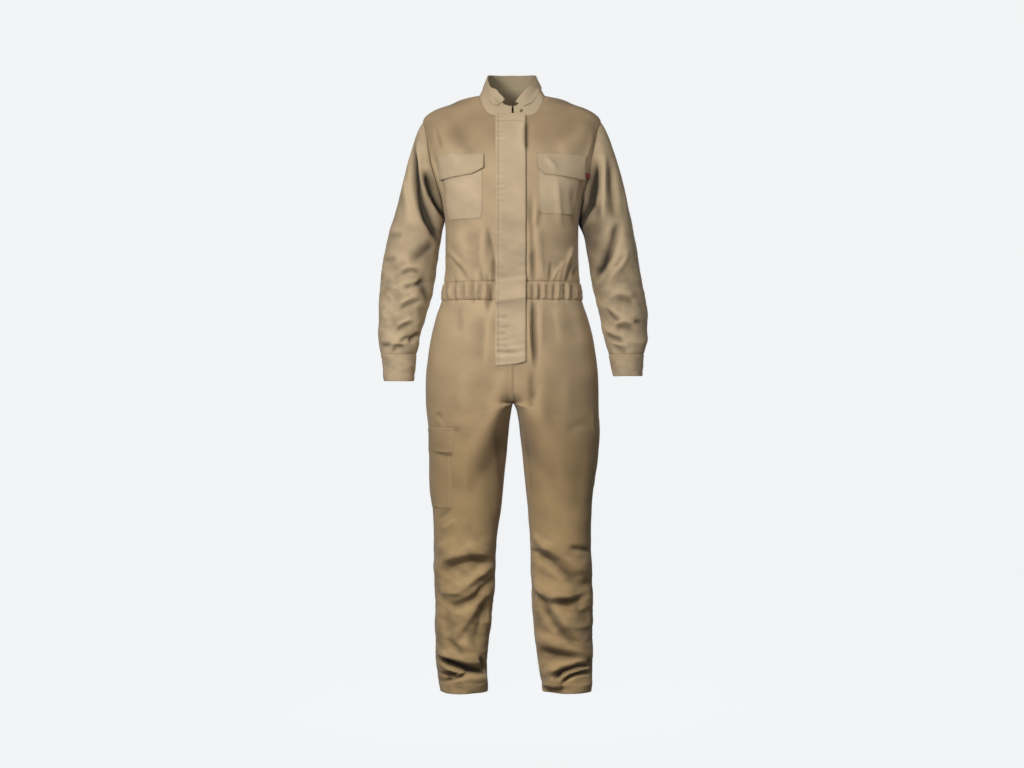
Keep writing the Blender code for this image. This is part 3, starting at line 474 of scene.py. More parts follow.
SLEEVE_CREASES = {"right": [
    # The two deep creases under the shoulder and the ridges beside them.
    (-241, -88, -229, -210, -170, -346, -22, 12, 11, 0.3),
    (-229, -84, -222, -180, -190, -296, 7.2, 6, 6, 0.2),
    (-214, -148, -190, -215, -160, -296, -20, 13, 12, 0.2),
    (-262, -150, -256, -230, -232, -310, 3.9, 8, 14, 0),
    # Elbow and forearm.
    (-306, -315, -284, -318, -264, -314, -3.9, 7, 7, 0.1),
    (-314, -375, -298, -376, -280, -374, -4.4, 6, 7, 0.2),
    (-187, -334, -214, -358, -256, -386, -6.5, 10, 16, 0),
    (-276, -414, -248, -404, -218, -410, -5.2, 4, 4, 0.5),
    (-276, -404, -250, -394, -222, -400, 3.9, 6, 4, 0.2),
    (-270, -443, -240, -438, -205, -426, -7.2, 4, 6, 0.4),
    (-228, -420, -210, -448, -196, -486, -9.1, 14, 16, 0),
    (-300, -438, -273, -452, -242, -478, 4.9, 4, 4, 0.4),
    (-308, -452, -296, -464, -284, -474, 3.6, 4, 4, 0.3),
    (-292, -440, -264, -460, -234, -482, -3.9, 4, 4, 0.4),
    (-277, -496, -250, -484, -214, -474, -6, 4, 5, 0.4),
    (-280, -486, -252, -472, -226, -464, 3.9, 5, 4, 0.2),
    (-284, -550, -264, -538, -238, -531, -5.7, 4, 5, 0.4),
    (-282, -538, -262, -527, -238, -521, 4.7, 5, 4, 0.2),
    (-252, -574, -238, -566, -222, -556, -10.4, 6, 6, 0.2),
    (-277, -582, -262, -570, -246, -562, -5.7, 4, 5, 0.4),
    (-326, -582, -308, -584, -290, -581, -4.9, 4, 5, 0.3),
    (-297, -600, -276, -588, -250, -597, -6, 4, 4, 0.5),
    (-294, -590, -276, -579, -256, -587, 3.9, 4, 4, 0.3),
    (-318, -500, -304, -520, -296, -545, 3.4, 9, 9, 0),
], "left": [
    (206, -118, 193, -214, 167, -320, -22, 13, 13, 0.3),
    (178, -205, 174, -232, 168, -262, 5.2, 4, 4, 0.2),
    (222, -112, 225, -200, 220, -305, 7.2, 8, 7, 0.1),
    (240, -130, 245, -205, 250, -290, -10, 12, 14, 0.1),
    (262, -120, 272, -210, 284, -300, 3.4, 10, 10, 0),
    (262, -276, 241, -352, 190, -432, -15.6, 12, 13, 0.1),
    (286, -345, 262, -392, 226, -440, 6.2, 9, 7, 0.2),
    (280, -360, 264, -380, 246, -400, -5.2, 5, 5, 0.3),
    (300, -330, 304, -350, 306, -372, 3.1, 9, 9, 0),
    (241, -475, 279, -473, 300, -486, -5.2, 5, 9, 0.2),
    (238, -462, 274, -460, 298, -470, 3.9, 8, 5, 0.1),
    (221, -490, 250, -520, 266, -528, -5.2, 5, 6, 0.3),
    (232, -484, 258, -508, 282, -512, 3.9, 6, 6, 0.1),
    (246, -548, 270, -537, 306, -549, -7.8, 4, 8, 0.5),
    (246, -538, 272, -527, 304, -536, 5.7, 7, 4, 0.3),
    (226, -556, 244, -566, 276, -573, -8.5, 6, 7, 0.3),
    (296, -526, 308, -527, 322, -526, -5.2, 5, 5, 0.2),
    (246, -588, 264, -594, 282, -600, -4.4, 5, 5, 0.3),
    (240, -578, 262, -584, 286, -588, 3.9, 6, 5, 0.1),
    (222, -592, 232, -600, 242, -606, -6.5, 6, 6, 0.2),
]}

# The back, seen from behind with the wearer's right at the right: x is measured to the right there.
BACK_CREASES = [
    (150, -60, 120, -110, 84, -150, -3, 12, 10, 0.1),
    (-158, -56, -130, -104, -96, -140, -2.6, 12, 10, 0.1),
    (176, -130, 150, -200, 104, -250, 3.2, 9, 12, 0.1),
    (-180, -140, -150, -206, -112, -260, 3, 9, 12, 0.1),
    (158, -240, 120, -290, 72, -320, -2.6, 10, 10, 0.1),
    (-156, -250, -118, -306, -80, -340, -2.6, 10, 10, 0.1),
    (30, -300, 34, -370, 30, -434, 3, 10, 9, 0.1),
    (-46, -310, -42, -380, -48, -434, 3, 9, 10, 0.1),
    (120, -350, 112, -395, 108, -434, -3, 6, 6, 0.2),
    (-112, -340, -104, -392, -98, -434, -3, 6, 6, 0.2),
    (84, -370, 82, -400, 78, -434, 3.4, 6, 7, 0.2),
    (-142, -360, -136, -400, -132, -434, 3.2, 6, 7, 0.2),
    (6, -478, 8, -540, 6, -600, -2.4, 9, 9, 0.1),
    (150, -492, 120, -560, 76, -640, 3, 14, 14, 0),
    (-146, -496, -118, -570, -80, -650, 3, 14, 14, 0),
    (20, -690, 70, -748, 140, -772, -4, 9, 8, 0.2),
    (-20, -696, -74, -756, -146, -782, -4, 9, 8, 0.2),
    (24, -720, 72, -782, 136, -806, 3.6, 9, 9, 0.1),
    (-24, -724, -76, -790, -140, -816, 3.6, 9, 9, 0.1),
    (60, -860, 110, -880, 170, -872, -2.4, 12, 10, 0.1),
    (-60, -880, -104, -900, -166, -886, -2.4, 12, 10, 0.1),
    (176, -1010, 120, -1046, 58, -1030, -4.4, 8, 8, 0.2),
    (-58, -1022, -116, -1050, -176, -1024, -4.4, 8, 8, 0.2),
    (178, -1044, 124, -1080, 62, -1066, 4.4, 8, 8, 0.1),
    (-60, -1056, -120, -1082, -180, -1060, 4.4, 8, 8, 0.1),
]


# ---- Reading the tables ----
def smooth(where, places, values):
    """A monotone cubic through (places, values): it never goes past a row's own value between two rows."""
    gaps = np.diff(places)
    slopes = np.diff(values) / gaps
    before, after = slopes[:-1], slopes[1:]
    same = before * after > 0
    total = np.where(same, before + after, 1.0)
    inner = np.where(same, 2 * before * after / total, 0.0)
    tangents = np.concatenate([slopes[:1], inner, slopes[-1:]])
    row = np.clip(np.searchsorted(places, where, side="right") - 1, 0, len(gaps) - 1)
    t = (where - places[row]) / gaps[row]
    rise = 3 * t**2 - 2 * t**3
    start = (t - 2 * t**2 + t**3) * gaps[row] * tangents[row]
    end = (t**3 - t**2) * gaps[row] * tangents[row + 1]
    return values[row] + (values[row + 1] - values[row]) * rise + start + end


def read(rows, column, where):
    """A column of a table at any place along its first column."""
    places = rows[next(iter(rows))]
    return smooth(np.clip(where, places[0], places[-1]), places, rows[column])


def blend(a, b, share):
    """From a, where the share is 0, to b, where it is 1."""
    return a + (b - a) * share


def halved(low, high, below):
    """The value between low and high up to which a test holds, found by halving the range."""
    for _ in range(40):
        middle = (low + high) / 2
        under = below(middle)
        low, high = np.where(under, middle, low), np.where(under, high, middle)
    return (low + high) / 2


def eased(t):
    """0 to 1 with level ends."""
    t = np.clip(t, 0, 1)
    return t * t * (3 - 2 * t)


def bump(distance, spread):
    """A bell curve of height 1."""
    return np.exp(-((distance / spread) ** 2))


def tent(share):
    """A fold's two flat sides, from 1 at the fold to 0 at a share of 1, rounded a little at the top and
    foot."""
    side = 1 - (np.sqrt(share**2 + 0.01) - 0.1) / 0.905
    return (side + np.sqrt(side**2 + 0.012)) / 2


# ---- Plain skins: body and bodice ----
def body(angle, height):
    """Skin of the body: a rounded box x = w sin(angle)^(2/p), y = -d cos(angle)^(2/p) at each height. The
    angle starts at the middle of the front and grows anticlockwise."""
    sideways, forward = np.sin(angle), np.cos(angle)
    power = 2 / read(BODY, "squareness", height)
    depth = np.where(forward > 0, read(BODY, "front", height), read(BODY, "back", height))
    x = read(BODY, "half_width", height) * np.sign(sideways) * np.abs(sideways) ** power
    y = -depth * np.sign(forward) * np.abs(forward) ** power
    return np.stack(np.broadcast_arrays(x, y, height), axis=-1)


def angle_at(x, height):
    """The angle on the front half of the body where the skin is x from the middle."""
    share = np.clip(np.abs(x) / read(BODY, "half_width", height), 0, 1)
    return np.sign(x) * np.arcsin(share ** (read(BODY, "squareness", height) / 2))


def front_at(x, height):
    """Skin of the front at a distance x from the middle."""
    return body(angle_at(x, height), height)


def height_over(x, y):
    """Height of the shoulder slope over a place in plan: where the body's ring grows wide enough to reach
    it."""
    column = np.where(y < 0, 0.0, 1.0)

    def inside(height):
        power = read(BODY, "squareness", height)
        depth = blend(read(BODY, "front", height), read(BODY, "back", height), column)
        return (np.abs(x) / read(BODY, "half_width", height)) ** power + (np.abs(y) / depth) ** power < 1

    return halved(np.full(np.shape(x), SHOULDER_LOW), np.full(np.shape(x), NECK_TOP), inside)


def plan_angle(x, y, height, back):
    """The angle of a place in plan, from the middle of the front or of the back."""
    power = read(BODY, "squareness", height) / 2
    depth = read(BODY, "back" if back else "front", height)
    sideways = (np.abs(x) / read(BODY, "half_width", height)) ** power
    return np.arctan2(sideways, (np.abs(y) / depth) ** power)


def armhole(side, turn):
    """The armhole's (y, height): an oval, fuller below its middle. Turn 0 is the shoulder tip, 90 degrees the
    front and 180 the underarm."""
    middle, half = (SHOULDER_HEIGHT + UNDERARM) / 2, (SHOULDER_HEIGHT - UNDERARM) / 2
    wide = np.where(np.sin(turn) > 0, ARMHOLE_FRONT[side], ARMHOLE_BACK)
    full = 1 - ARMHOLE_FULLNESS * np.cos(turn)
    return -wide * full * np.sin(turn), middle + half * np.cos(turn)


def neck_plan(turn, share, back):
    """(x, y) of the neck at a turn from the middle of the front: the rounded box |x/w|^p + |y/d|^p = 1 at the
    seam (share 0), rounder and smaller towards the collar's upper edge (share 1)."""
    power = np.where(back, NECK_SQUARENESS["back"], NECK_SQUARENESS["front"])
    power = blend(power, 2.2, np.clip(1.6 * share, 0, 1))
    lean = np.where(back, COLLAR_LEAN["back"], COLLAR_LEAN["front"])
    wide = (NECK_HALF_WIDTH - COLLAR_TAPER * share) ** -power * np.abs(np.sin(turn)) ** power
    deep = (np.where(back, NECK_BACK, NECK_FRONT) - lean * share) ** -power * np.abs(np.cos(turn)) ** power
    reach = (wide + deep) ** (-1 / power)
    return reach * np.sin(turn), -reach * np.cos(turn)


def bodice_side(side, v, back):
    """(angle, height) up the outer edge: side seam for v to 1, armhole to 2, then the shoulder seam to 3."""
    turn = math.pi * (1 - np.clip(v - 1, 0, 1))
    y, arm_height = armhole(side, -turn if back else turn)
    depth = read(BODY, "back" if back else "front", arm_height)
    forward = (np.abs(y) / depth) ** (read(BODY, "squareness", arm_height) / 2)
    along = blend(SHOULDER_TIP, NECK_HALF_WIDTH, np.clip(v - 2, 0, 1))
    ridge = height_over(along, np.zeros_like(along))
    side_seam = blend(WAIST_TOP, UNDERARM, v)
    height = np.where(v < 1, side_seam, np.where(v < 2, arm_height, ridge))
    return np.where((v > 1) & (v < 2), np.arccos(forward), math.pi / 2), height


def bodice(side, across, v, edge, back):
    """Half a bodice from its centre edge (across 0) to the side, as (angle, height) on the body. Each row
    joins a point of the centre line to one of the outer edge, and bends to follow the neckline at the
    top."""
    side_angle, side_height = bodice_side(side, v, back)
    yoke = YOKE_ROW["back" if back else "front"]
    start = math.atan(edge / NECK_FRONT)
    turns = [blend(start, math.pi / 2, share) for share in (across, 0 * across, 0 * across + 1)]
    heights, angles = [], []
    for turn in turns:
        x, y = neck_plan(math.pi - turn if back else turn, 0.0, back)
        heights.append(height_over(x, y))
        angles.append(plan_angle(x, y, heights[-1], back))
    below = blend(UNDERARM, yoke, (side_height - UNDERARM) / (SHOULDER_HEIGHT - UNDERARM))
    above = blend(yoke, heights[1], np.clip(v - 2, 0, 1))
    centre_height = np.where(v < 1, side_height, np.where(v < 2, below, above))
    bend = eased((v - 1.5) / 1.5)
    height = blend(centre_height, side_height, across)
    height = height + SHOULDER_ARCH * 4 * across * (1 - across) * eased(1 - np.abs(v - 2))
    height = height + bend * (heights[0] - blend(heights[1], heights[2], across))
    angle = blend(angle_at(edge, centre_height), side_angle, across)
    angle = angle + bend * (angles[0] - blend(angles[1], angles[2], across))
    return angle, height


def zip_edge(side):
    """How far a front's zip edge is from the middle, on its own side."""
    return ZIP_OPENING + SIDES[side] * ZIP_CENTRE


def bodice_front(side, u, v):
    """A front: half a bodice from the zip's edge to the side, laid on the body."""
    across = u if side == "left" else 1 - u
    angle, height = bodice(side, across, v, zip_edge(side), back=False)
    return body(SIDES[side] * angle, height)


def bodice_back(u, v):
    """The back: two halves of a bodice that join in the middle, laid on the body."""
    across = 2 * u - 1
    angle, height = bodice("right", np.abs(across), v, 0.0, back=True)
    return body(math.pi + np.sign(across) * angle, height)


def waist_surface(u, v):
    """The waistband: the body's own rings, from one edge of the zip round to the other."""
    height = blend(WAIST_BOTTOM, WAIST_TOP, v)
    start = angle_at(zip_edge("left"), height)
    end = 2 * math.pi - angle_at(zip_edge("right"), height)
    return body(blend(start, end, u), height)


# ---- Plain skins: trousers ----
def fork(label):
    """For a row of the trousers, named by its height at the outseam: its height at the inseam, and how far
    its columns have moved from the body's ring to a leg's ring."""
    down = np.clip((RISE_TOP - label) / (RISE_TOP - FORK_END), 0, 1)
    below = np.clip((FORK_END - label) / (FORK_END - LEG_LEVEL), 0, 1)
    curve = RISE_TOP + (CROTCH - RISE_TOP) * (1 - (1 - down) ** RISE_CURVE)
    inner = np.where(label > RISE_TOP, label, curve)
    inner = np.where(label <= FORK_END, blend(CROTCH, LEG_LEVEL, below**INSEAM_CURVE), inner)
    return np.where(label < LEG_LEVEL, label, inner), down**PARTING_CURVE


def trousers(side, turn, label):
    """Skin of one half of the trousers: turn 0 is the outseam, 90 degrees the front, 180 the inseam. It is
    the body's ring above the fork, a ring round the leg below it, and a mix of the two between. The leg's
    ring is an oval lower down. Near the fork it keeps the body's own outline, and closes at its inner side,
    where the two legs meet, with (1 - |s x|^q)^(1/q), in which s grows from 0 at the top of the rise to 1 at
    the crotch, or lower down by `drop` away from the inseam."""
    sign, leg = SIDES[side], LEGS[side]
    inner_height, parted = fork(label)
    inwards = (1 - np.cos(turn)) / 2
    height = blend(label, inner_height, inwards)
    opening = blend(-RISE_LAP[side], zip_edge(side), eased((label - ZIP_END + 0.02) / 0.02))
    edge = angle_at(opening, height)
    front_angle = blend(edge, math.pi / 2, (math.pi - turn) / math.pi)
    angle = np.where(turn < math.pi, front_angle, 1.5 * math.pi - turn / 2)
    whole = body(sign * angle, height)
    inner, outer = read(leg, "inner", height), read(leg, "outer", height)
    front = np.sin(turn) > 0
    depth = np.where(front, read(leg, "front", height), read(leg, "back", height))
    x = (inner + outer) / 2 + (outer - inner) / 2 * np.cos(turn)
    power = read(BODY, "squareness", height)
    full = np.where(front, read(BODY, "front", height), read(BODY, "back", height))
    outline = full * (1 - np.clip(np.abs(x) / outer, 0, 1) ** power) ** (1 / power)
    inwards = np.clip(-np.cos(turn), 0, 1)
    drop = FORK_DROP * (1 - inwards)
    nearness = inwards * np.clip((RISE_TOP - height) / (RISE_TOP - CROTCH + drop), 0, 1) ** FORK_POWER
    close = (1 - nearness**FORK_SQUARENESS) ** (1 / FORK_SQUARENESS)
    low = eased((CROTCH + LEG_START - drop - height) / LEG_BLEND)
    reach = blend(outline * close, depth * np.abs(np.sin(turn)), low)
    part = np.stack([sign * x, -np.sign(np.sin(turn)) * reach, height], axis=-1)
    whole = whole * np.stack([np.ones_like(close), close, np.ones_like(close)], axis=-1)
    return blend(whole, part, parted[..., None])


def trouser_piece(side, front, u, v):
    """A trouser front or back: half a turn of one half of the trousers, from the hem up to the waistband."""
    turn = (0 if front else math.pi) + math.pi * (u if side == "right" else 1 - u)
    turn = np.minimum(turn, math.pi - 1e-6) if front else np.maximum(turn, math.pi)
    return trousers(side, turn, blend(WAIST_BOTTOM, HEM, 1 - v))


def label_for(turn, height):
    """The row of the trousers that has this height at this turn."""

    def below(label):
        return blend(label, fork(label)[0], (1 - np.cos(turn)) / 2) < height

    return halved(np.full(np.shape(height), HEM), np.full(np.shape(height), WAIST_BOTTOM), below)


# ---- Plain skins: sleeves and collar ----
def sleeve_ring(side, turn, height):
    """Skin of the sleeve below its cap, an oval: turn 0 is the outside, 90 degrees the front, 180 the
    inside."""
    rows = SLEEVES[side]
    x = read(rows, "out", height) + read(rows, "half_width", height) * np.cos(turn)
    y = -read(rows, "ahead", height) - read(rows, "half_depth", height) * np.sin(turn)
    return np.stack(np.broadcast_arrays(SIDES[side] * x, y, height), axis=-1)


def sleeve_head(side, turn):
    """The sleeve's edge at the armhole, tucked just under the bodice's own edge."""
    y, height = armhole(side, turn)
    depth = np.where(y < 0, read(BODY, "front", height), read(BODY, "back", height))
    power = read(BODY, "squareness", height)
    x = read(BODY, "half_width", height) * (1 - (np.abs(y) / depth) ** power) ** (1 / power)
    return np.stack([SIDES[side] * (x + TUCK), y, height], axis=-1)


def sleeve(side, u, v):
    """v 0 to 1 is the tube from the cuff to the cap's base, and 1 to 2 the cap, a cubic up to the armhole. At
    the top the cubic leaves the armhole outwards, which rounds the shoulder."""
    turn = -SIDES[side] * 2 * math.pi * u
    tube = sleeve_ring(side, turn, blend(CUFF_TOP + SEAM, CAP_BASE, np.clip(v, 0, 1)))
    base = sleeve_ring(side, turn, CAP_BASE + 0 * turn)
    up = (base - sleeve_ring(side, turn, CAP_BASE - 0.001 + 0 * turn)) / 0.001
    head = sleeve_head(side, turn)
    rise = (head - base)[..., 2:]
    top = ((1 + np.cos(turn)) / 2)[..., None]
    sideways = np.stack([SIDES[side] * np.cos(turn), -np.sin(turn), 0 * turn], axis=-1)
    bulge = CAP_ROUND * top**2 + CAP_EASE * np.abs(np.sin(turn))[..., None]
    handle = blend(CAP_HANDLE_SIDE, CAP_HANDLE_TOP, top**2)
    near_head = head + handle * (base - head) + bulge * sideways
    near_base = base + up * rise / 3 - CAP_LEAN[side] * top * sideways
    t = np.clip(v - 1, 0, 1)[..., None]
    cap = (1 - t) ** 3 * base + 3 * (1 - t) ** 2 * t * near_base
    cap = cap + 3 * (1 - t) * t**2 * near_head + t**3 * head
    return np.where(v[..., None] < 1, tube, cap)


def cuff(side, u, v):
    """The cuff: the sleeve's own rings, below its lower seam."""
    return sleeve_ring(side, -SIDES[side] * 2 * math.pi * u, blend(CUFF_END[side], CUFF_TOP, v))


def collar(turn, share):
    """Skin of the collar: turn is from the middle of the front, anticlockwise, and share runs up from the
    seam at the neckline to the upper edge."""
    back = np.cos(turn) < 0
    foot = height_over(*neck_plan(turn, 0.0, back))
    top = read(COLLAR_EDGE, "height", (np.degrees(turn) + 180) % 360 - 180)
    return np.stack([*neck_plan(turn, share, back), blend(foot, top, share)], axis=-1)


# ---- Patches on the plain skins ----
def flap_edge(corner, away):
    """Height of a flap's lower edge: it drops across the cut corner, then gently to the outer end."""
    cut = FLAP_CUT * np.clip(away / corner, 0, 1)
    outwards = np.clip((away - corner) / (1 - corner), 0, 1)
    return FLAP_LOW + FLAP_CUT + FLAP_SLOPE * (1 - outwards) - cut


def pocket_edge(bottom, away):
    """Height of a chest pocket's lower edge: a quarter circle at the inner corner."""
    inner = np.clip(1 - away / POCKET_CORNER_SHARE, 0, 1)
    return bottom + POCKET_CORNER * (1 - np.sqrt(1 - inner**2))


def front_patch(side, edges, bottom, top, u, v):
    """A patch on the bodice front, between its `edges`. `bottom` is a height, or a function that gives it
    from how far out a place is."""
    away = u if side == "left" else 1 - u
    x = blend(edges["inner"], blend(edges["outer_foot"], edges["outer_head"], v), away)
    foot = bottom(away) if callable(bottom) else bottom
    return front_at(SIDES[side] * x, blend(foot, top, v))


def placket_surface(u, v):
    """The placket's upper edge drops at its free corner, and its lower one rises a little to that side."""
    foot, head = PLACKET_END + PLACKET_FOOT_RISE * u**2, PLACKET_TOP - PLACKET_HEAD_DROP * u**6
    return front_at(blend(PLACKET_RIGHT, PLACKET_LEFT, u), blend(foot, head, v))


def zip_surface(u, v):
    """The zip's tape: a strip of even width on the front's skin."""
    return front_at(ZIP_CENTRE + ZIP_TAPE * (u - 0.5), blend(ZIP_FOOT, ZIP_TOP, v))


def thigh_patch(side, turns, heights, u, v):
    """A patch round the outseam, between two turns in degrees and two heights."""
    turn = np.radians(blend(turns[0], turns[1], u if side == "right" else 1 - u))
    label = label_for(turn, blend(heights[0], heights[1], v))
    return trousers(side, np.where(turn < 0, turn + 2 * math.pi, turn), label)


# ---- Grids ----
def steps(start, end, count):
    """Evenly spaced values, both ends among them."""
    return np.linspace(start, end, count)


def stepped(count, *ranges):
    """Steps through ranges that follow on each other, each with its own share of `count`."""
    parts = [steps(start, end, round(count * share)) for start, end, share in ranges]
    return np.unique(np.concatenate(parts))


def grid(surface, columns, rows):
    """A surface at every crossing of the columns and rows."""
    u, v = np.meshgrid(columns, rows)
    return surface(u, v)


def unit(vectors):
    """The same directions, each 1 long."""
    return vectors / np.maximum(np.linalg.norm(vectors, axis=-1, keepdims=True), 1e-12)


def normals_of(points, tube=False):
    """Unit normals: across the steps to the next column and to the next row."""
    if tube:
        across = np.roll(points, -1, axis=1) - np.roll(points, 1, axis=1)
    else:
        across = np.gradient(points, axis=1)
    return unit(np.cross(across, np.gradient(points, axis=0)))


def lengths(points, axis):
    """How far each point is along its row (axis 1), or along its column or a single line (axis 0)."""
    gaps = np.linalg.norm(np.diff(points, axis=axis), axis=-1)
    start = np.zeros_like(np.take(gaps, [0], axis=axis))
    return np.concatenate([start, np.cumsum(gaps, axis=axis)], axis=axis)


def along_line(where, reach, values):
    """Values along a line whose points lie at the lengths `reach`, at each length of `where`."""
    return np.stack([np.interp(where, reach, values[:, k]) for k in range(3)], 1)


def from_edges(points):
    """The distance of every grid point from each of the four edges, measured on the skin."""
    across, up = lengths(points, 1), lengths(points, 0)
    return {"left": across, "right": across[:, -1:] - across, "bottom": up, "top": up[-1:] - up}


# ---- Creases, gathers and swells ----
class Crease:
    """One ridge or trough: its line on the plain skin, and how it rises across and along that line."""

    def __init__(self, row, skin_points, skin_normals, face):
        x1, z1, x2, z2, x3, z3, lift, over, under, sharp = row
        t = steps(0, 1, 9)[:, None]
        ends = (1 - t) ** 2 * [x1, z1] + t**2 * [x3, z3]
        handle = [2 * x2 - (x1 + x3) / 2, 2 * z2 - (z1 + z3) / 2]
        seen = (ends + 2 * t * (1 - t) * handle) / 1000
        scale = EYE_DISTANCE / (EYE_DISTANCE - face * skin_points[:, 1])
        across = -face * skin_points[:, 0] * scale
        up = EYE_HEIGHT + (skin_points[:, 2] - EYE_HEIGHT) * scale
        gap = (across - seen[:, :1]) ** 2 + (up - seen[:, 1:]) ** 2
        near = np.argpartition(gap, 3, axis=1)[:, :3]
        weight = 1 / (np.take_along_axis(gap, near, axis=1) + 1e-8)
        weight = (weight / weight.sum(1, keepdims=True))[..., None]
        self.line = (skin_points[near] * weight).sum(1)
        normal = (skin_normals[near] * weight).sum(1)[1:]
        self.along = np.diff(self.line, axis=0)
        self.sideways = unit(np.cross(normal, self.along))
        self.lift, self.over, self.under = lift / 1000, over / 1000, under / 1000
        self.sharp = sharp
        self.reach = 3 * max(self.over, self.under)

    def add_to(self, total, points):
        """Adds this crease's lift: between a bell and a tent across the line, with its own width on each
        side, that dies out towards both ends."""
        inside = (points > self.line.min(0) - self.reach) & (points < self.line.max(0) + self.reach)
        near = np.nonzero(inside.all(1))[0]
        if not len(near):
            return
        place = points[near][:, None]
        length = np.maximum((self.along**2).sum(1), 1e-12)
        t = np.clip(((place - self.line[:-1]) * self.along).sum(-1) / length, 0, 1)
        gap = place - (self.line[:-1] + t[..., None] * self.along)
        distance = np.linalg.norm(gap, axis=-1)
        part = distance.argmin(1)[:, None]
        distance = np.take_along_axis(distance, part, 1)[:, 0]
        side = np.take_along_axis((gap * self.sideways).sum(-1), part, 1)[:, 0]
        along = (part[:, 0] + np.take_along_axis(t, part, 1)[:, 0]) / len(self.along)
        width = blend(self.under, self.over, eased(side / (0.3 * self.reach) + 0.5))
        fade = eased(along / 0.3) * eased((1 - along) / 0.3)
        roll, fold = np.exp(-((distance / width) ** 2)), tent(distance / (1.8 * width))
        total[near] += self.lift * blend(0.08, 1, fade) * blend(roll, fold, self.sharp)


def hashed(cells, seed):
    """A number from -1 to 1 for each cell of a lattice, always the same for the same cell and seed."""
    mixed = cells[..., 0] * 73856093 ^ cells[..., 1] * 19349663 ^ cells[..., 2] * 83492791
    mixed = mixed ^ seed * 2654435761
    mixed = (mixed ^ (mixed >> 13)) * 1274126177 & 0x7FFFFFFF
    mixed = (mixed ^ (mixed >> 16)) * 668265263 & 0x7FFFFFFF
    return (mixed % 20011) / 10005.5 - 1


def swell(points, size, seed):
    """Smooth random rise and fall, from -1 to 1: lattice values eased between the corners of each cell.
    `size` gives the cell's three sides."""
    place = points / np.asarray(size)
    cell = np.floor(place).astype(np.int64)
    inside = eased(place - cell)
    total = 0.0
    for corner in np.ndindex(2, 2, 2):
        share = np.prod(np.where(corner, inside, 1 - inside), axis=-1)
        total = total + share * hashed(cell + corner, seed)
    return total


def facets(points, size, seed):
    """Flat planes that meet in soft folds, from -1 to 1: the mean of three triangle waves, each along its own
    way, with its crests bent by a slow swell. `size` is the distance from crest to crest."""
    total = 0.0
    bend = swell(points, (2.2 * size,) * 3, seed) * 0.55
    for k, way in enumerate(((0.90, 0.25, 0.42), (-0.55, 0.30, 0.80), (0.35, -0.20, 1.05))):
        turn = (points @ np.array(way)) / size * (1 + 0.23 * k) + bend + 0.37 * k * seed
        wave = np.abs((turn % 1) - 0.5) * 4 - 1
        total = total + np.sign(wave) * (np.sqrt(wave**2 + 0.02) - 0.14)
    return total / 3


def mirrored(rows, shrink, drop):
    """The same creases for the other face of a limb: x turned over as it is seen from behind, shallower, and
    a little lower."""
    moved = []
    for x1, z1, x2, z2, x3, z3, lift, over, under, sharp in rows:
        moved.append((x1, z1 - drop, x2, z2 - drop, x3, z3 - drop, lift * shrink, over, under, sharp))
    return moved


def waist_gathers():
    """Gathers of the elastic round the back: evenly spaced ridges and troughs, each a little out of place."""
    rows, draw = [], np.random.default_rng(11)
    for place in np.arange(-156, 157, 10.5):
        x = place + draw.uniform(-2.5, 2.5)
        lift = draw.uniform(2.2, 3.8) * (1 if len(rows) % 2 else -1)
        top = WAIST_TOP * 1000 + draw.uniform(4, 34)
        bottom = WAIST_BOTTOM * 1000 - draw.uniform(2, 24)
        lean = draw.uniform(-4, 4)
        rows.append((x + lean, top, x, (top + bottom) / 2, x - lean / 2, bottom, lift, 4.5, 4.5, 0.4))
    return rows


@cache
def plain_skins(region, face):
    """Points and normals of a region's plain skin, as far as it faces the front (-1) or the back (1)."""
    side = region.partition("_")[2]
    if side:
        around = steps(0, 1, 121)[:-1]
        surfaces = [(partial(sleeve, side), around, steps(0, 1.99, 170))]
        surfaces.append((partial(cuff, side), around, steps(0, 1, 20)))
    else:
        fine, rise = steps(0.004, 0.996, 60), steps(0.01, 2.98, 110)
        surfaces = [(partial(bodice_front, half), fine, rise) for half in SIDES]
        if face > 0:
            surfaces = [(bodice_back, steps(0.004, 0.996, 120), rise)]
        legs = [partial(trouser_piece, half, face < 0) for half in SIDES]
        surfaces += [(leg, fine, steps(0.002, 0.998, 240)) for leg in legs]
        surfaces.append((waist_surface, steps(0, 1, 240), steps(0, 1, 10)))
    points, normals = [], []
    for surface, columns, rows in surfaces:
        skin = grid(surface, columns, rows)
        normal = normals_of(skin, tube=bool(side))
        facing = (normal[..., 1] * face > 0.02).reshape(-1)
        points.append(skin.reshape(-1, 3)[facing])
        normals.append(normal.reshape(-1, 3)[facing])
    return np.concatenate(points), np.concatenate(normals)


@cache
def creases(region):
    """All the creases of the torso and legs, or of one sleeve, laid on the plain skins. The back of a limb
    takes the other one's front creases, without those that only a front has."""
    side = region.partition("_")[2]
    if side:
        front = SLEEVE_CREASES[side]
        other = SLEEVE_CREASES["left" if side == "right" else "right"]
        back = mirrored([row for row in other if row[1] < -300], shrink=0.8, drop=10)
    else:
        front = BODICE_CREASES + WAIST_CREASES + RISE_CREASES + THIGH_CREASES
        front += SHIN_CREASES["right"] + SHIN_CREASES["left"]
        back = BACK_CREASES + waist_gathers()
        back += mirrored(SHIN_CREASES["right"][3:] + SHIN_CREASES["left"][2:], shrink=0.75, drop=14)
    found = []
    for rows, face in ((front, -1), (back, 1)):
        skin_points, skin_normals = plain_skins(region, face)
        found += [Crease(row, skin_points, skin_normals, face) for row in rows]
    return found


def deep_crease_shade(region, skin):
    """Painted shade along the creases deeper than DEEP_CREASE, as a depth of hollow. `skin` is the plain one.
    """
    total = np.zeros(skin.shape[0] * skin.shape[1])
    for crease in creases(region):
        if crease.lift < DEEP_CREASE:
            crease.add_to(total, skin.reshape(-1, 3))
    return DEEP_SHARE * total.reshape(skin.shape[:2])


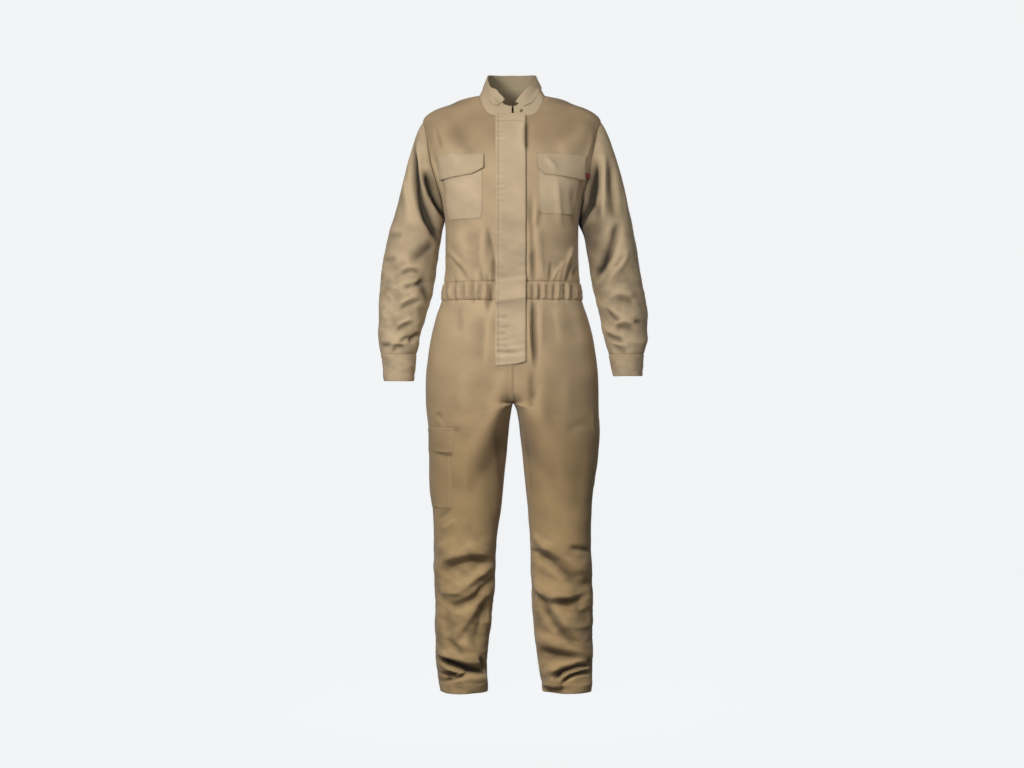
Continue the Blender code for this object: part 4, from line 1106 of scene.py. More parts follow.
def underarm_shade(side, skin):
    """Painted shadow of the body on the side of a sleeve that lies against it, as a depth of hollow."""
    inwards = -SIDES[side] * normals_of(skin, tube=True)[..., 0]
    (foot, foot_length), (head, head_length) = INNER_SHADE_ENDS
    along = eased((skin[..., 2] - foot) / foot_length) * eased((head - skin[..., 2]) / head_length)
    return INNER_SHADE[side] * eased((inwards + 0.10) / 0.80) * along


def crumple(points, region):
    """How strongly the cloth is rumpled: most above the hems and in the forearms, a little above the
    waist."""
    height = points[:, 2]
    if region == "torso":
        return 0.24 + 0.76 * eased((-1.02 - height) / 0.16) + 0.20 * bump(height + 0.40, 0.07)
    return 0.4 + 0.7 * eased((-0.33 - height) / 0.12)


def lift_of(points, normals, region):
    """How far the cloth stands off its plain skin: creases and broad facets, both shallower where the skin
    turns sideways, then a sleeve's fullness at the armpit, and swells of three sizes."""
    shape = points.shape[:-1]
    points, normals = points.reshape(-1, 3), normals.reshape(-1, 3)
    total = np.zeros(len(points))
    for crease in creases(region):
        crease.add_to(total, points)
    strength = crumple(points, region)
    part, _, side = region.partition("_")
    height, width = FACETS[part]
    total += height * strength * facets(points, width, 2)
    total *= blend(0.2, 1, eased(np.abs(normals[:, 1]) / 0.6))
    if side:
        full, level = ARMPIT[side]
        inwards = -SIDES[side] * normals[:, 0]
        total += full * bump(points[:, 2] - level, ARMPIT_SPREAD) * eased((inwards - 0.2) / 0.6)
    total += 0.0011 * swell(points, (0.070, 0.070, 0.110), 3)
    total += 0.0012 * strength * swell(points, (0.036, 0.036, 0.022), 5)
    bent = points + 0.006 * swell(points, (0.03, 0.03, 0.03), 8)[:, None]
    total += 0.0011 * strength * (0.5 - np.abs(swell(bent, (0.020, 0.020, 0.012), 7)))
    return total.reshape(shape)


# ---- Meshes ----
def mesh_of(name, points, faces, corners=None, material=None):
    """A mesh object from arrays: points, faces of equal size, and a flat place for each face corner."""
    mesh = bpy.data.meshes.new(name)
    mesh.vertices.add(len(points))
    mesh.vertices.foreach_set("co", np.ascontiguousarray(points, np.float32).reshape(-1))
    mesh.loops.add(faces.size)
    mesh.loops.foreach_set("vertex_index", np.ascontiguousarray(faces, np.int32).reshape(-1))
    mesh.polygons.add(len(faces))
    mesh.polygons.foreach_set("loop_start", np.arange(0, faces.size, faces.shape[1], dtype=np.int32))
    mesh.update(calc_edges=True)
    if corners is not None:
        layer = mesh.uv_layers.new(name="thread")
        layer.uv.foreach_set("vector", np.ascontiguousarray(corners, np.float32).reshape(-1))
    mesh.shade_smooth()
    piece = bpy.data.objects.new(name, mesh)
    bpy.context.scene.collection.objects.link(piece)
    if material:
        mesh.materials.append(material)
    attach(piece, "root")
    return piece


def wall_arrays(skin, normals, thickness, tube):
    """A closed wall behind a skin: the skin, its inner side, and a rim rounded by one more ring half way."""
    rows, columns = skin.shape[:2]
    count = rows * columns
    thick = np.broadcast_to(np.asarray(thickness), skin.shape[:2])[..., None]
    outside, inside = skin.reshape(-1, 3), (skin - thick * normals).reshape(-1, 3)
    index = np.arange(count).reshape(rows, columns)
    flat = np.stack([lengths(skin, 1), lengths(skin, 0)], axis=-1)
    flat = flat - [flat[rows // 2, columns // 2, 0], 0]
    if tube:
        index = np.concatenate([index, index[:, :1]], axis=1)
        wrap = np.linalg.norm(skin[:, :1] - skin[:, -1:], axis=-1) + flat[:, -1:, 0]
        flat = np.concatenate([flat, np.stack([wrap, flat[:, :1, 1]], axis=-1)], axis=1)
    cells = lambda a: [a[:-1, :-1], a[:-1, 1:], a[1:, 1:], a[1:, :-1]]
    quads = np.stack(cells(index), axis=-1).reshape(-1, 4)
    places = np.stack(cells(flat), axis=2).reshape(-1, 4, 2)
    faces, corners = [quads, quads[:, ::-1] + count], [places, places[:, ::-1]]
    extra, start = [], 2 * count
    # Each edge as a row of these two arrays and of the next one inwards, and whether it runs forwards.
    edges = [(index[0], flat[0], index[1], True), (index[-1], flat[-1], index[-2], False)]
    if not tube:
        edges.append((index[:, 0], flat[:, 0], index[:, 1], False))
        edges.append((index[:, -1], flat[:, -1], index[:, -2], True))
    for line, place, inwards, forward in edges:
        outer, back = outside[line], inside[line]
        half = np.linalg.norm(outer - back, axis=1, keepdims=True) / 2
        middle = (outer + back) / 2 + 0.7 * half * unit(outer - outside[inwards])
        middle = middle[:-1] if tube else middle
        ring = start + np.arange(len(middle))
        ring = np.append(ring, ring[:1]) if tube else ring
        extra.append(middle)
        start += len(middle)
        for near, far in ((line, ring), (ring, line + count)):
            band = np.stack([near[1:], near[:-1], far[:-1], far[1:]], axis=-1)
            spot = np.stack([place[1:], place[:-1], place[:-1], place[1:]], axis=1)
            faces.append(band if forward else band[:, ::-1])
            corners.append(spot if forward else spot[:, ::-1])
    points = np.concatenate([outside, inside] + extra)
    return points, np.concatenate(faces), np.concatenate(corners)


def softened(values, axis, reach, wrap):
    """Mean of each value and its neighbours on both sides, `reach` of them each way."""
    pads = [(0, 0)] * values.ndim
    pads[axis] = (reach + 1, reach)
    total = np.cumsum(np.pad(values, pads, "wrap" if wrap else "edge"), axis=axis)
    count = values.shape[axis]
    ends = [np.take(total, range(first, first + count), axis=axis) for first in (0, 2 * reach + 1)]
    return (ends[1] - ends[0]) / (2 * reach + 1)


def hollows(skin, normals, tube):
    """How far each point stands above the cloth round it, or below it: its distance along the normal from the
    mean of its neighbourhood, for two sizes of neighbourhood. On a tube the mean of each row is taken off."""
    total = np.zeros(skin.shape[:2])
    for reach in HOLLOW_SIZES:
        if min(skin.shape[:2]) > 4 * reach:
            mean = skin
            for axis, wrap in ((0, False), (1, tube), (0, False), (1, tube)):
                mean = softened(mean, axis, reach, wrap)
            total = total + ((skin - mean) * normals).sum(-1)
    return total - total.mean(axis=1, keepdims=True) if tube else total


def cloth(name, skin, thickness, tube=False, material=None, slot="twill", inside=None, hidden=0):
    """A closed wall of cloth as a mesh object, on the folded skin. `inside` is the finish of its inner side.
    Its own attribute holds how deep each point lies in a hollow, which the material turns into painted shade
    in the hollows and a painted highlight on the ridges; its last argument adds more painted shade."""
    normals = normals_of(skin, tube)
    points, faces, corners = wall_arrays(skin, normals, thickness, tube)
    piece = mesh_of(name, points, faces, corners, material or twill())
    depth = hollows(skin, normals, tube)
    painted_shade = np.zeros(len(points), np.float32)
    # Painted shade and painted highlight: the outer side takes its clipped depth of hollow plus the extra
    # painted shade, and the inner side its depth turned over.
    painted_shade[: depth.size] = (np.clip(depth, *HOLLOW_RANGE) + hidden).reshape(-1)
    painted_shade[depth.size : 2 * depth.size] = -depth.reshape(-1)
    piece.data.attributes.new("hollow", "FLOAT", "POINT").data.foreach_set("value", painted_shade)
    piece.data.set_sharp_from_angle(angle=math.radians(62))
    if inside:
        piece.data.materials.append(inside)
        cells = (skin.shape[0] - 1) * (skin.shape[1] - (0 if tube else 1))
        side = np.zeros(len(faces), np.int32)
        side[cells : 2 * cells] = 1
        piece.data.polygons.foreach_set("material_index", side)
    return piece


def folded(surface, columns, rows, region="torso", tube=False, calm=None, extra=None):
    """The plain skin of a surface, moved along its normals by creases and swells. `calm` scales these from 0
    to 1, and `extra` adds to them; both are functions of u, v and the distances from the edges."""
    u, v = np.meshgrid(columns, rows)
    skin = surface(u, v)
    normals = normals_of(skin, tube)
    lift = lift_of(skin, normals, region)
    edges = from_edges(skin)
    if calm:
        lift = lift * calm(u, v, edges)
    if extra:
        lift = lift + extra(u, v, edges)
    return skin + lift[..., None] * normals


def sunk_seams(edges, names, depth=SEAM_SINK):
    """A seam pulls the cloth in along it."""
    return -depth * sum(bump(edges[name], SEAM_SPREAD) for name in names)


# ---- Stitches ----
def line_inside(skin, edge, distance, tube=False):
    """Points and normals of the line that runs along one edge of a skin, a distance in from it, found between
    the two grid lines that it falls between."""
    normals = normals_of(skin, tube)
    if edge in ("left", "right"):
        skin, normals = skin.transpose(1, 0, 2), normals.transpose(1, 0, 2)
    if edge in ("right", "top"):
        skin, normals = skin[::-1], normals[::-1]
    reach = lengths(skin, 0)
    row = np.clip((reach < distance).sum(0) - 1, 0, len(reach) - 2)
    column = np.arange(skin.shape[1])
    near, far = reach[row, column], reach[row + 1, column]
    t = ((distance - near) / np.maximum(far - near, 1e-9))[:, None]
    points = blend(skin[row, column], skin[row + 1, column], t)
    facing = blend(normals[row, column], normals[row + 1, column], t)
    if tube and edge in ("top", "bottom"):
        points, facing = np.concatenate([points, points[:1]]), np.concatenate([facing, facing[:1]])
    return points, facing


def rows_along(skin, edges, distances, tube=False):
    """The lines of stitches that run along each of these edges, at each of these distances from it."""
    return [line_inside(skin, edge, distance, tube) for edge in edges for distance in distances]


def trimmed(line, start, end):
    """A stretch of a line, between two shares of its length."""
    points, facing = line
    first, last = int(start * (len(points) - 1)), int(math.ceil(end * (len(points) - 1)))
    return points[first : last + 1], facing[first : last + 1]


def stitches(name, lines):
    """Rows of stitches as one mesh. Each stitch is a spindle with four sides: two rings and two tips that dip
    into the cloth, set at every STITCH_PITCH along its line."""
    spots, ways, ups = [], [], []
    look = 0.0004
    for points, facing in lines:
        reach = lengths(points, 0)
        if reach[-1] < STITCH_PITCH:
            continue
        at = np.arange(STITCH_PITCH / 2, reach[-1], STITCH_PITCH)
        spots.append(along_line(at, reach, points))
        ways.append(along_line(at + look, reach, points) - along_line(at - look, reach, points))
        ups.append(along_line(at, reach, facing))
    spot, way, up = np.concatenate(spots), unit(np.concatenate(ways)), np.concatenate(ups)
    up = unit(up - (up * way).sum(1, keepdims=True) * way)
    half, radius = STITCH_LENGTH / 2, STITCH_RADIUS
    local = [(-half, 0, -0.9 * radius)]
    for along in (-0.45 * half, 0.45 * half):
        local += [(along, radius, 0), (along, 0, radius), (along, -radius, 0), (along, 0, -radius)]
    local = np.array(local + [(half, 0, -0.9 * radius)])
    points = spot[:, None] + local @ np.stack([way, np.cross(up, way), up], axis=1)
    points = points + 0.35 * radius * up[:, None]
    faces = []
    for k in range(4):
        a, b = 1 + k, 1 + (k + 1) % 4
        faces += [(0, b, a), (a, b, b + 4), (a, b + 4, a + 4), (a + 4, b + 4, 9)]
    faces = np.array(faces)[None] + 10 * np.arange(len(spot))[:, None, None]
    piece = mesh_of(name, points.reshape(-1, 3), faces.reshape(-1, 3), material=thread())


# ---- Materials ----
def group(name, inputs, outputs):
    """An empty shader node group with named sockets. `inputs` gives each one's kind and default."""
    tree = bpy.data.node_groups.new(name, "ShaderNodeTree")
    for label, kind, default in inputs:
        socket = tree.interface.new_socket(label, in_out="INPUT", socket_type="NodeSocket" + kind)
        if default is not None:
            socket.default_value = default
    for label, kind in outputs:
        tree.interface.new_socket(label, in_out="OUTPUT", socket_type="NodeSocket" + kind)
    return tree, tree.nodes.new("NodeGroupInput"), tree.nodes.new("NodeGroupOutput")


def node(tree, kind, links=(), **settings):
    """One node, with its settings, and what feeds each of its inputs: another socket or a plain value."""
    made = tree.nodes.new("ShaderNode" + kind)
    for key, value in settings.items():
        setattr(made, key, value)
    for label, source in dict(links).items():
        if isinstance(source, bpy.types.NodeSocket):
            tree.links.new(source, made.inputs[label])
        else:
            made.inputs[label].default_value = source
    return made


def sums(tree, operation, *values):
    """A Math node on up to three values."""
    return node(tree, "Math", dict(enumerate(values)), operation=operation).outputs[0]


def noise(tree, place, scale, detail, roughness=0.5):
    """Soft noise from 0 to 1."""
    links = {"Vector": place, "Scale": scale, "Detail": detail, "Roughness": roughness}
    return node(tree, "TexNoise", links).outputs[0]


def swing(tree, value, amount):
    """A value from 0 to 1, moved to both sides of zero and scaled."""
    return sums(tree, "MULTIPLY", sums(tree, "SUBTRACT", value, 0.5), amount)


def ranged(tree, value, low, high):
    """A value from 0 to 1, mapped to the range from low to high."""
    return node(tree, "MapRange", {"Value": value, "To Min": low, "To Max": high}).outputs[0]


def shaded(tree, colour, value, low, high):
    """A colour made darker or lighter by a value: times `low` where it is 0, and times `high` where it is
    1."""
    links = {"Value": ranged(tree, value, low, high), "Color": colour}
    return node(tree, "HueSaturation", links).outputs[0]


def raised(tree, shader, height, strength, distance):
    """Feeds a height to a shader's normal."""
    links = {"Height": height, "Strength": strength, "Distance": distance}
    tree.links.new(node(tree, "Bump", links).outputs[0], shader.inputs["Normal"])


@cache
def weave_group():
    """Twill weave on the thread map: diagonal ribs, broken up along each rib by the yarn's own bumps. It
    gives a height and a mask that is 1 on top of a rib."""
    inputs = [("Ribs per metre", "Float", 1500.0), ("Slub", "Float", 0.4)]
    tree, given, made = group("twill weave", inputs, [("Height", "Float"), ("Top", "Float")])
    place = node(tree, "UVMap", uv_map="thread").outputs[0]
    split = node(tree, "SeparateXYZ", {0: place})
    wander = sums(tree, "MULTIPLY", noise(tree, place, 190.0, 2.0), 0.0009)
    slope = sums(tree, "MULTIPLY_ADD", split.outputs["Y"], 0.62, wander)
    diagonal = sums(tree, "ADD", split.outputs["X"], slope)
    turn = sums(tree, "MULTIPLY", sums(tree, "MULTIPLY", diagonal, given.outputs[0]), 2 * math.pi)
    rib = sums(tree, "MULTIPLY_ADD", sums(tree, "SINE", turn), 0.5, 0.5)
    slub = swing(tree, noise(tree, place, 2600.0, 1.0), given.outputs[1])
    tree.links.new(sums(tree, "ADD", rib, slub), made.inputs[0])
    tree.links.new(rib, made.inputs[1])
    return tree


@cache
def dye_and_shade_group():
    """Uneven dyeing with painted shade: large soft clouds, fine yarn flecks, a tint that turns from warm to
    olive, painted shade down the legs, over the yoke and in the hollows, and a painted highlight on the
    ridges."""
    inputs = [(place, "Color", (0.4, 0.3, 0.2, 1)) for place in ("Base", *PAINTED_SHADE_BANDS)]
    inputs += [("Clouds", "Float", 0.08), ("Flecks", "Float", 0.06)]
    tree, given, made = group("dye and painted_shading", inputs, [("Colour", "Color"), ("Roughness", "Float")])
    place = node(tree, "TexCoord").outputs["Object"]
    height = node(tree, "SeparateXYZ", {0: place}).outputs["Z"]
    shaded_dye = given.outputs["Base"]
    # Painted shade by height: darker down the legs and over the yoke.
    for band, (start, end) in PAINTED_SHADE_BANDS.items():
        links = {"Value": height, "From Min": start, "From Max": end}
        share = node(tree, "MapRange", links, interpolation_type="SMOOTHSTEP").outputs[0]
        shaded_dye = node(tree, "Mix", {0: share, 6: shaded_dye, 7: given.outputs[band]}, data_type="RGBA").outputs[2]
    # Painted shade in the hollows and a painted highlight on the ridges.
    hollow = node(tree, "Attribute", attribute_name="hollow").outputs["Fac"]
    links = {"Value": hollow, "From Min": DARKEST_HOLLOW, "From Max": HOLLOW_RANGE[1]}
    painted_shade = node(tree, "MapRange", {**links, "To Min": PAINTED_SHADE_LEVELS[0], "To Max": PAINTED_SHADE_LEVELS[1]}).outputs[0]
    cloudy = swing(tree, noise(tree, place, 7.0, 4.0, 0.6), given.outputs["Clouds"])
    flecks = noise(tree, place, 420.0, 3.0, 0.7)
    flecked = swing(tree, flecks, given.outputs["Flecks"])
    level = sums(tree, "MULTIPLY", painted_shade, sums(tree, "ADD", 1.0, sums(tree, "ADD", cloudy, flecked)))
    hue = sums(tree, "MULTIPLY_ADD", noise(tree, place, 3.1, 2.0), 0.016, 0.492)
    colour = node(tree, "HueSaturation", {"Hue": hue, "Value": level, "Color": shaded_dye})
    tree.links.new(colour.outputs[0], made.inputs[0])
    tree.links.new(sums(tree, "MULTIPLY_ADD", flecks, 0.10, 0.80), made.inputs[1])
    return tree


def principled(name, **constants):
    """A material with its shader's own constants set."""
    material = bpy.data.materials.new(name)
    material.use_nodes = True
    shader = material.node_tree.nodes["Principled BSDF"]
    for label, value in constants.items():
        shader.inputs[label.replace("_", " ")].default_value = value
    return material, material.node_tree, shader


# The colours of each twill: its own dyed colour, the painted shade down the legs and the painted shade over
# the yoke. The collar's inner side takes a darker colour, which is painted shade too.
TWILLS = {
    "khaki twill": ("khaki", "legs", "yoke"),
    "pale twill": ("pale", "pale", "pale"),
    "sleeve twill": ("sleeves", "sleeves", "sleeves"),
    "shaded inner twill": ("inside", "inside", "inside"),
}


@cache
def twill(name="khaki twill"):
    """Cotton twill, matt, with a faint sheen at grazing angles."""
    constants = {"Sheen_Weight": 0.12, "Sheen_Roughness": 0.45, "Specular_IOR_Level": 0.25}
    material, tree, shader = principled(name, **constants)
    weave = node(tree, "Group", node_tree=weave_group())
    colours = [(*getattr(bpy.context.scene.suit_colours, shaded_dye), 1) for shaded_dye in TWILLS[name]]
    # The group adds painted shade by height and by depth of hollow.
    shaded_dye = node(tree, "Group", dict(zip(("Base", *PAINTED_SHADE_BANDS), colours)), node_tree=dye_and_shade_group())
    colour = shaded(tree, shaded_dye.outputs["Colour"], weave.outputs["Top"], 0.90, 1.05)
    tree.links.new(colour, shader.inputs["Base Color"])
    tree.links.new(shaded_dye.outputs["Roughness"], shader.inputs["Roughness"])
    raised(tree, shader, weave.outputs["Height"], 0.55, 0.00018)
    return material


@cache
def thread():
    """Polyester sewing thread, a shade lighter than the cloth, with a little shine."""
    material, tree, shader = principled("sewing thread", Roughness=0.55, Specular_IOR_Level=0.4)
    twist = noise(tree, node(tree, "TexCoord").outputs["Object"], 900.0, 1.0)
    base = (*bpy.context.scene.suit_colours.thread, 1)
    tree.links.new(shaded(tree, base, twist, 0.8, 1.15), shader.inputs["Base Color"])
    return material


def tape(name, colour, ribs, slub, low, **constants):
    """Woven tape, darker and lower between its ribs."""
    material, tree, shader = principled(name, **constants)
    weave = node(tree, "Group", {"Ribs per metre": ribs, "Slub": slub}, node_tree=weave_group())
    colour = shaded(tree, (*colour, 1), weave.outputs["Top"], low, 1.1)
    tree.links.new(colour, shader.inputs["Base Color"])
    raised(tree, shader, weave.outputs["Height"], 0.5, 0.0002)
    return material


def zip_tape():
    """Woven polyester tape, with fine ribs along it."""
    return tape("zip tape", bpy.context.scene.suit_colours.tape, 900.0, 0.1, 0.8, Roughness=0.7)


def red_tape():
    """The small tab's dark red woven tape."""
    colour = bpy.context.scene.suit_colours.tab
    return tape("red tape", colour, 2200.0, 0.4, 0.75, Roughness=0.75, Sheen_Weight=0.1)


@cache
def brass():
    """Aged brass of the zip and stud: darker and rougher in patches."""
    material, tree, shader = principled("aged brass", Metallic=1.0)
    stain = noise(tree, node(tree, "TexCoord").outputs["Object"], 260.0, 3.0)
    base = (*bpy.context.scene.suit_colours.metal, 1)
    tree.links.new(shaded(tree, base, stain, 0.55, 1.1), shader.inputs["Base Color"])
    tree.links.new(ranged(tree, stain, 0.25, 0.55), shader.inputs["Roughness"])
    return material


# ---- Settings ----
def length_property(name, description, default, low, high):
    """A length that a user may change."""
    return FloatProperty(
        name=name, description=description, default=default, min=low, max=high, unit="LENGTH"
    )


class SuitSizes(bpy.types.PropertyGroup):
    """Sizes of the cloth, the hems and the mesh"""

    cloth: length_property("Cloth", "Thickness of the twill", 0.0009, 0.0005, 0.003)
    hem: length_property("Hem", "Depth of the turned-up hems", 0.022, 0.01, 0.06)
    step: length_property("Mesh step", "Side of one mesh cell", 0.0036, 0.002, 0.02)


def colour_property(name, description, default):
    """A colour that a user may change."""
    return FloatVectorProperty(
        name=name, description=description, default=default, size=3, min=0, max=1, subtype="COLOR"
    )


class SuitColours(bpy.types.PropertyGroup):
    """Dyes of the cloth and its painted shades, and colours of thread, tape and metal"""

    khaki: colour_property("Khaki", "Dye of the twill", (0.435, 0.318, 0.188))
    pale: colour_property("Khaki, pale", "Dye of the collar, placket and pockets", (0.495, 0.378, 0.240))
    sleeves: colour_property("Khaki of the sleeves", "Dye of the sleeves and cuffs", (0.455, 0.341, 0.209))
    # Painted shade: a darker khaki that stands in for the shade over the chest and shoulders.
    yoke: colour_property(
        "Khaki of the yoke", "Dye of the twill over the chest and shoulders", (0.340, 0.236, 0.134)
    )
    # Painted shade: a darker, more saturated khaki that stands in for the shade on the lower legs.
    legs: colour_property(
        "Khaki of the legs", "Dye of the twill where it is less faded", (0.243, 0.163, 0.0765)
    )
    # Painted shade: a darker khaki that stands in for the shade inside the collar and the neck.
    inside: colour_property("Inside", "Inner side of the collar", (0.365, 0.295, 0.185))
    thread: colour_property("Thread", "Sewing thread", (0.50, 0.38, 0.24))
    tape: colour_property("Zip tape", "Tape of the zip", (0.16, 0.12, 0.08))
    metal: colour_property("Metal", "Zip teeth, slider and stud", (0.38, 0.28, 0.16))
    tab: colour_property("Tab", "Small tab at the armhole", (0.30, 0.045, 0.040))


class StageSettings(bpy.types.PropertyGroup):
    """The backdrop's colour, and how strong the light is"""

    backdrop: colour_property("Backdrop", "Floor and backdrop", (0.888, 0.905, 0.913))
    key: FloatProperty(
        name="Key light", description="Power of the main light", default=12.0, min=0, unit="POWER"
    )
    sky: FloatProperty(name="Sky", description="Strength of the light from all round", default=0.13, min=0)


# ---- Operators ----
def cut_piece(name, skin, thickness, flat, held="hung", area=None, rests_on=(), ending="_twill", **looks):
    """A piece of cloth that stands for the node of its own name. The size that it was cut to is not used."""
    piece = cloth(name + ending, skin, thickness, **looks)
    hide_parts(name)


def counts(width, length):
    """Columns and rows for a piece of this width and length."""
    step = bpy.context.scene.suit_sizes.step
    return max(4, round(width / step)), max(4, round(length / step))


def bodice_skin(surface, columns, rows, outer):
    """A front or the back, folded. Its folds die out at the neckline and the shoulder, and at the armholes,
    which lie on the edges named by `outer`."""

    def calm(u, v, edges):
        armhole_edge = np.minimum.reduce([edges[name] for name in outer])
        return eased(np.minimum(edges["top"], np.where(v > 1, armhole_edge, 1.0)) / CALM["bodice"])

    def extra(u, v, edges):
        return sunk_seams(edges, ["bottom", "top", *outer])

    return folded(surface, columns, rows, calm=calm, extra=extra)


class SUIT_OT_bodice(bpy.types.Operator):
    """Make the two bodice fronts and the back, with their seams"""

    bl_idname = "suit.bodice"
    bl_label = "Bodice"

    def execute(self, context):
        thick = context.scene.suit_sizes.cloth
        columns, length = counts(0.24, 0.56)
        rise = stepped(length, (0.0008, 1, 0.38), (1, 2, 0.40), (2, 2.996, 0.24))
        lines = []
        for side in SIDES:
            outer = "right" if side == "left" else "left"
            skin = bodice_skin(partial(bodice_front, side), steps(0.002, 0.998, columns), rise, [outer])
            cut_piece("front_" + side, skin, thick, (0.26, 0.50), area=0.104)
            lines += rows_along(skin, [outer], (0.002, 0.0085))
        across = counts(0.46, 0.56)[0]
        skin = bodice_skin(bodice_back, steps(0.001, 0.999, across), rise, ["left", "right"])
        cut_piece("back", skin, thick, (0.50, 0.50), area=0.209)
        lines += [trimmed(line, 0, 0.75) for line in rows_along(skin, ["left", "right"], [0.0025])]
        stitches("bodice_stitches", lines)
        return {"FINISHED"}


class SUIT_OT_waistband(bpy.types.Operator):
    """Make the elasticated waistband"""

    bl_idname = "suit.waistband"
    bl_label = "Waistband"

    def execute(self, context):
        depth = 0.044
        columns, rows = counts(0.86, depth)

        def extra(u, v, edges):
            casing = 0.0024 * np.sin(math.pi * v) ** 0.7
            elastic = 0.0007 * np.abs(np.sin(3 * math.pi * v))
            return casing + elastic + sunk_seams(edges, ["bottom", "top"], 0.0012)

        around, rise = steps(0, 1, round(columns * 1.3)), steps(0.004, 0.996, rows + 8)
        skin = folded(waist_surface, around, rise, extra=extra)
        cut_piece("waistband", skin, 1.6 * context.scene.suit_sizes.cloth, (0.94, 0.044), "gathered")
        lines = rows_along(skin, ["top", "bottom"], [0.0025])
        lines += rows_along(skin, ["bottom"], (0.35 * depth, 0.66 * depth))
        stitches("waistband_stitches", lines)
        return {"FINISHED"}


class SUIT_OT_trousers(bpy.types.Operator):
    """Make the trouser fronts and backs, with their turned-up hems"""

    bl_idname = "suit.trousers"
    bl_label = "Trousers"

    def execute(self, context):
        columns, rows = counts(0.27, 0.95)
        across = steps(-0.0004, 1.0004, columns)
        rise = stepped(rows, (0.0006, 0.45, 0.52), (0.45, 0.9995, 0.48))
        lines = []
        for side in SIDES:
            for front in (True, False):
                lines += self.panel(side, front, across, rise, context.scene.suit_sizes)
        stitches("trouser_stitches", lines)
        return {"FINISHED"}

    def panel(self, side, front, across, rise, sizes):
        """One front or back, and the lines of its stitches. Its hem stands out a little and is thicker, and
        the wearer's right front laps over the left one at the rise."""
        # The outseam is at u 0 on the wearer's right front and left back.
        outer, inner = ("left", "right") if (side == "right") == front else ("right", "left")

        def calm(u, v, edges):
            return eased(np.where(v > RISE_SHARE, edges[inner], 1.0) / CALM["rise"])

        def extra(u, v, edges):
            band = 0.0006 * eased((edges["bottom"] - sizes.hem + 0.0012) / -0.0015 + 1)
            inseam = np.where(v < RISE_SHARE, sunk_seams(edges, [inner]), 0)
            lap = 0.0012 * eased((0.012 - edges[inner]) / 0.004) * eased((v - RISE_SHARE) / 0.02)
            lapped = lap if front and side == "right" else 0
            return band + inseam + lapped + sunk_seams(edges, [outer, "top"])

        surface = partial(trouser_piece, side, front)
        skin = folded(surface, across, rise, calm=calm, extra=extra)
        thick = sizes.cloth * (1 + 1.2 * eased((sizes.hem - from_edges(skin)["bottom"]) / 0.001))
        # Painted shade along the deep creases of the legs.
        hidden = deep_crease_shade("torso", grid(surface, across, rise))
        name = f"trouser_front_{side}" if front else f"trouser_back_{side}"
        area = 0.242 if front else 0.249
        cut_piece(name, skin, thick, (0.34, 0.96), area=area, hidden=hidden)
        hem = line_inside(skin, "bottom", sizes.hem)
        if front:
            return [hem] + [trimmed(line, 0.68, 0.87) for line in rows_along(skin, [inner], SEAM_ROWS)]
        return [hem] + rows_along(skin, [outer, inner], SEAM_ROWS)


class SUIT_OT_sleeves(bpy.types.Operator):
    """Make both sleeves and their cuffs"""

    bl_idname = "suit.sleeves"
    bl_label = "Sleeves and cuffs"

    def execute(self, context):
        thick = context.scene.suit_sizes.cloth
        around, length = counts(0.40, 0.58)
        turns = steps(0, 1, around + 1)[:-1]
        rows = stepped(length, (0.0004, 1, 0.54), (1, 2, 0.46))
        cuff_rows = steps(0.0005, 0.997, counts(0.30, 0.066)[1] + 6)
        looks = {"tube": True, "material": twill("sleeve twill")}
        lines = []

        def calm(u, v, edges):
            return eased(edges["top"] / CALM["sleeve"])

        def extra(u, v, edges):
            return sunk_seams(edges, ["top", "bottom"])

        def cuff_extra(u, v, edges):
            return 0.0006 + sunk_seams(edges, ["top"])

        for side in SIDES:
            region = "sleeve_" + side
            skin = folded(partial(sleeve, side), turns, rows, region, True, calm, extra)
            plain = grid(partial(sleeve, side), turns, rows)
            # Painted shade: the body's shadow on the sleeve's inner side, and along its deep creases.
            hidden = underarm_shade(side, plain) + deep_crease_shade(region, plain)
            cut_piece(region, skin, thick, (0.46, 0.60), area=0.186, hidden=hidden, **looks)
            skin = folded(partial(cuff, side), turns, cuff_rows, region, True, extra=cuff_extra)
            cut_piece("cuff_" + side, skin, 1.9 * thick, (0.24, 0.066), **looks)
            lines += rows_along(skin, ["top"], (0.002, 0.008), tube=True)
            lines += rows_along(skin, ["bottom"], [0.004], tube=True)
        stitches("cuff_stitches", lines)
        return {"FINISHED"}


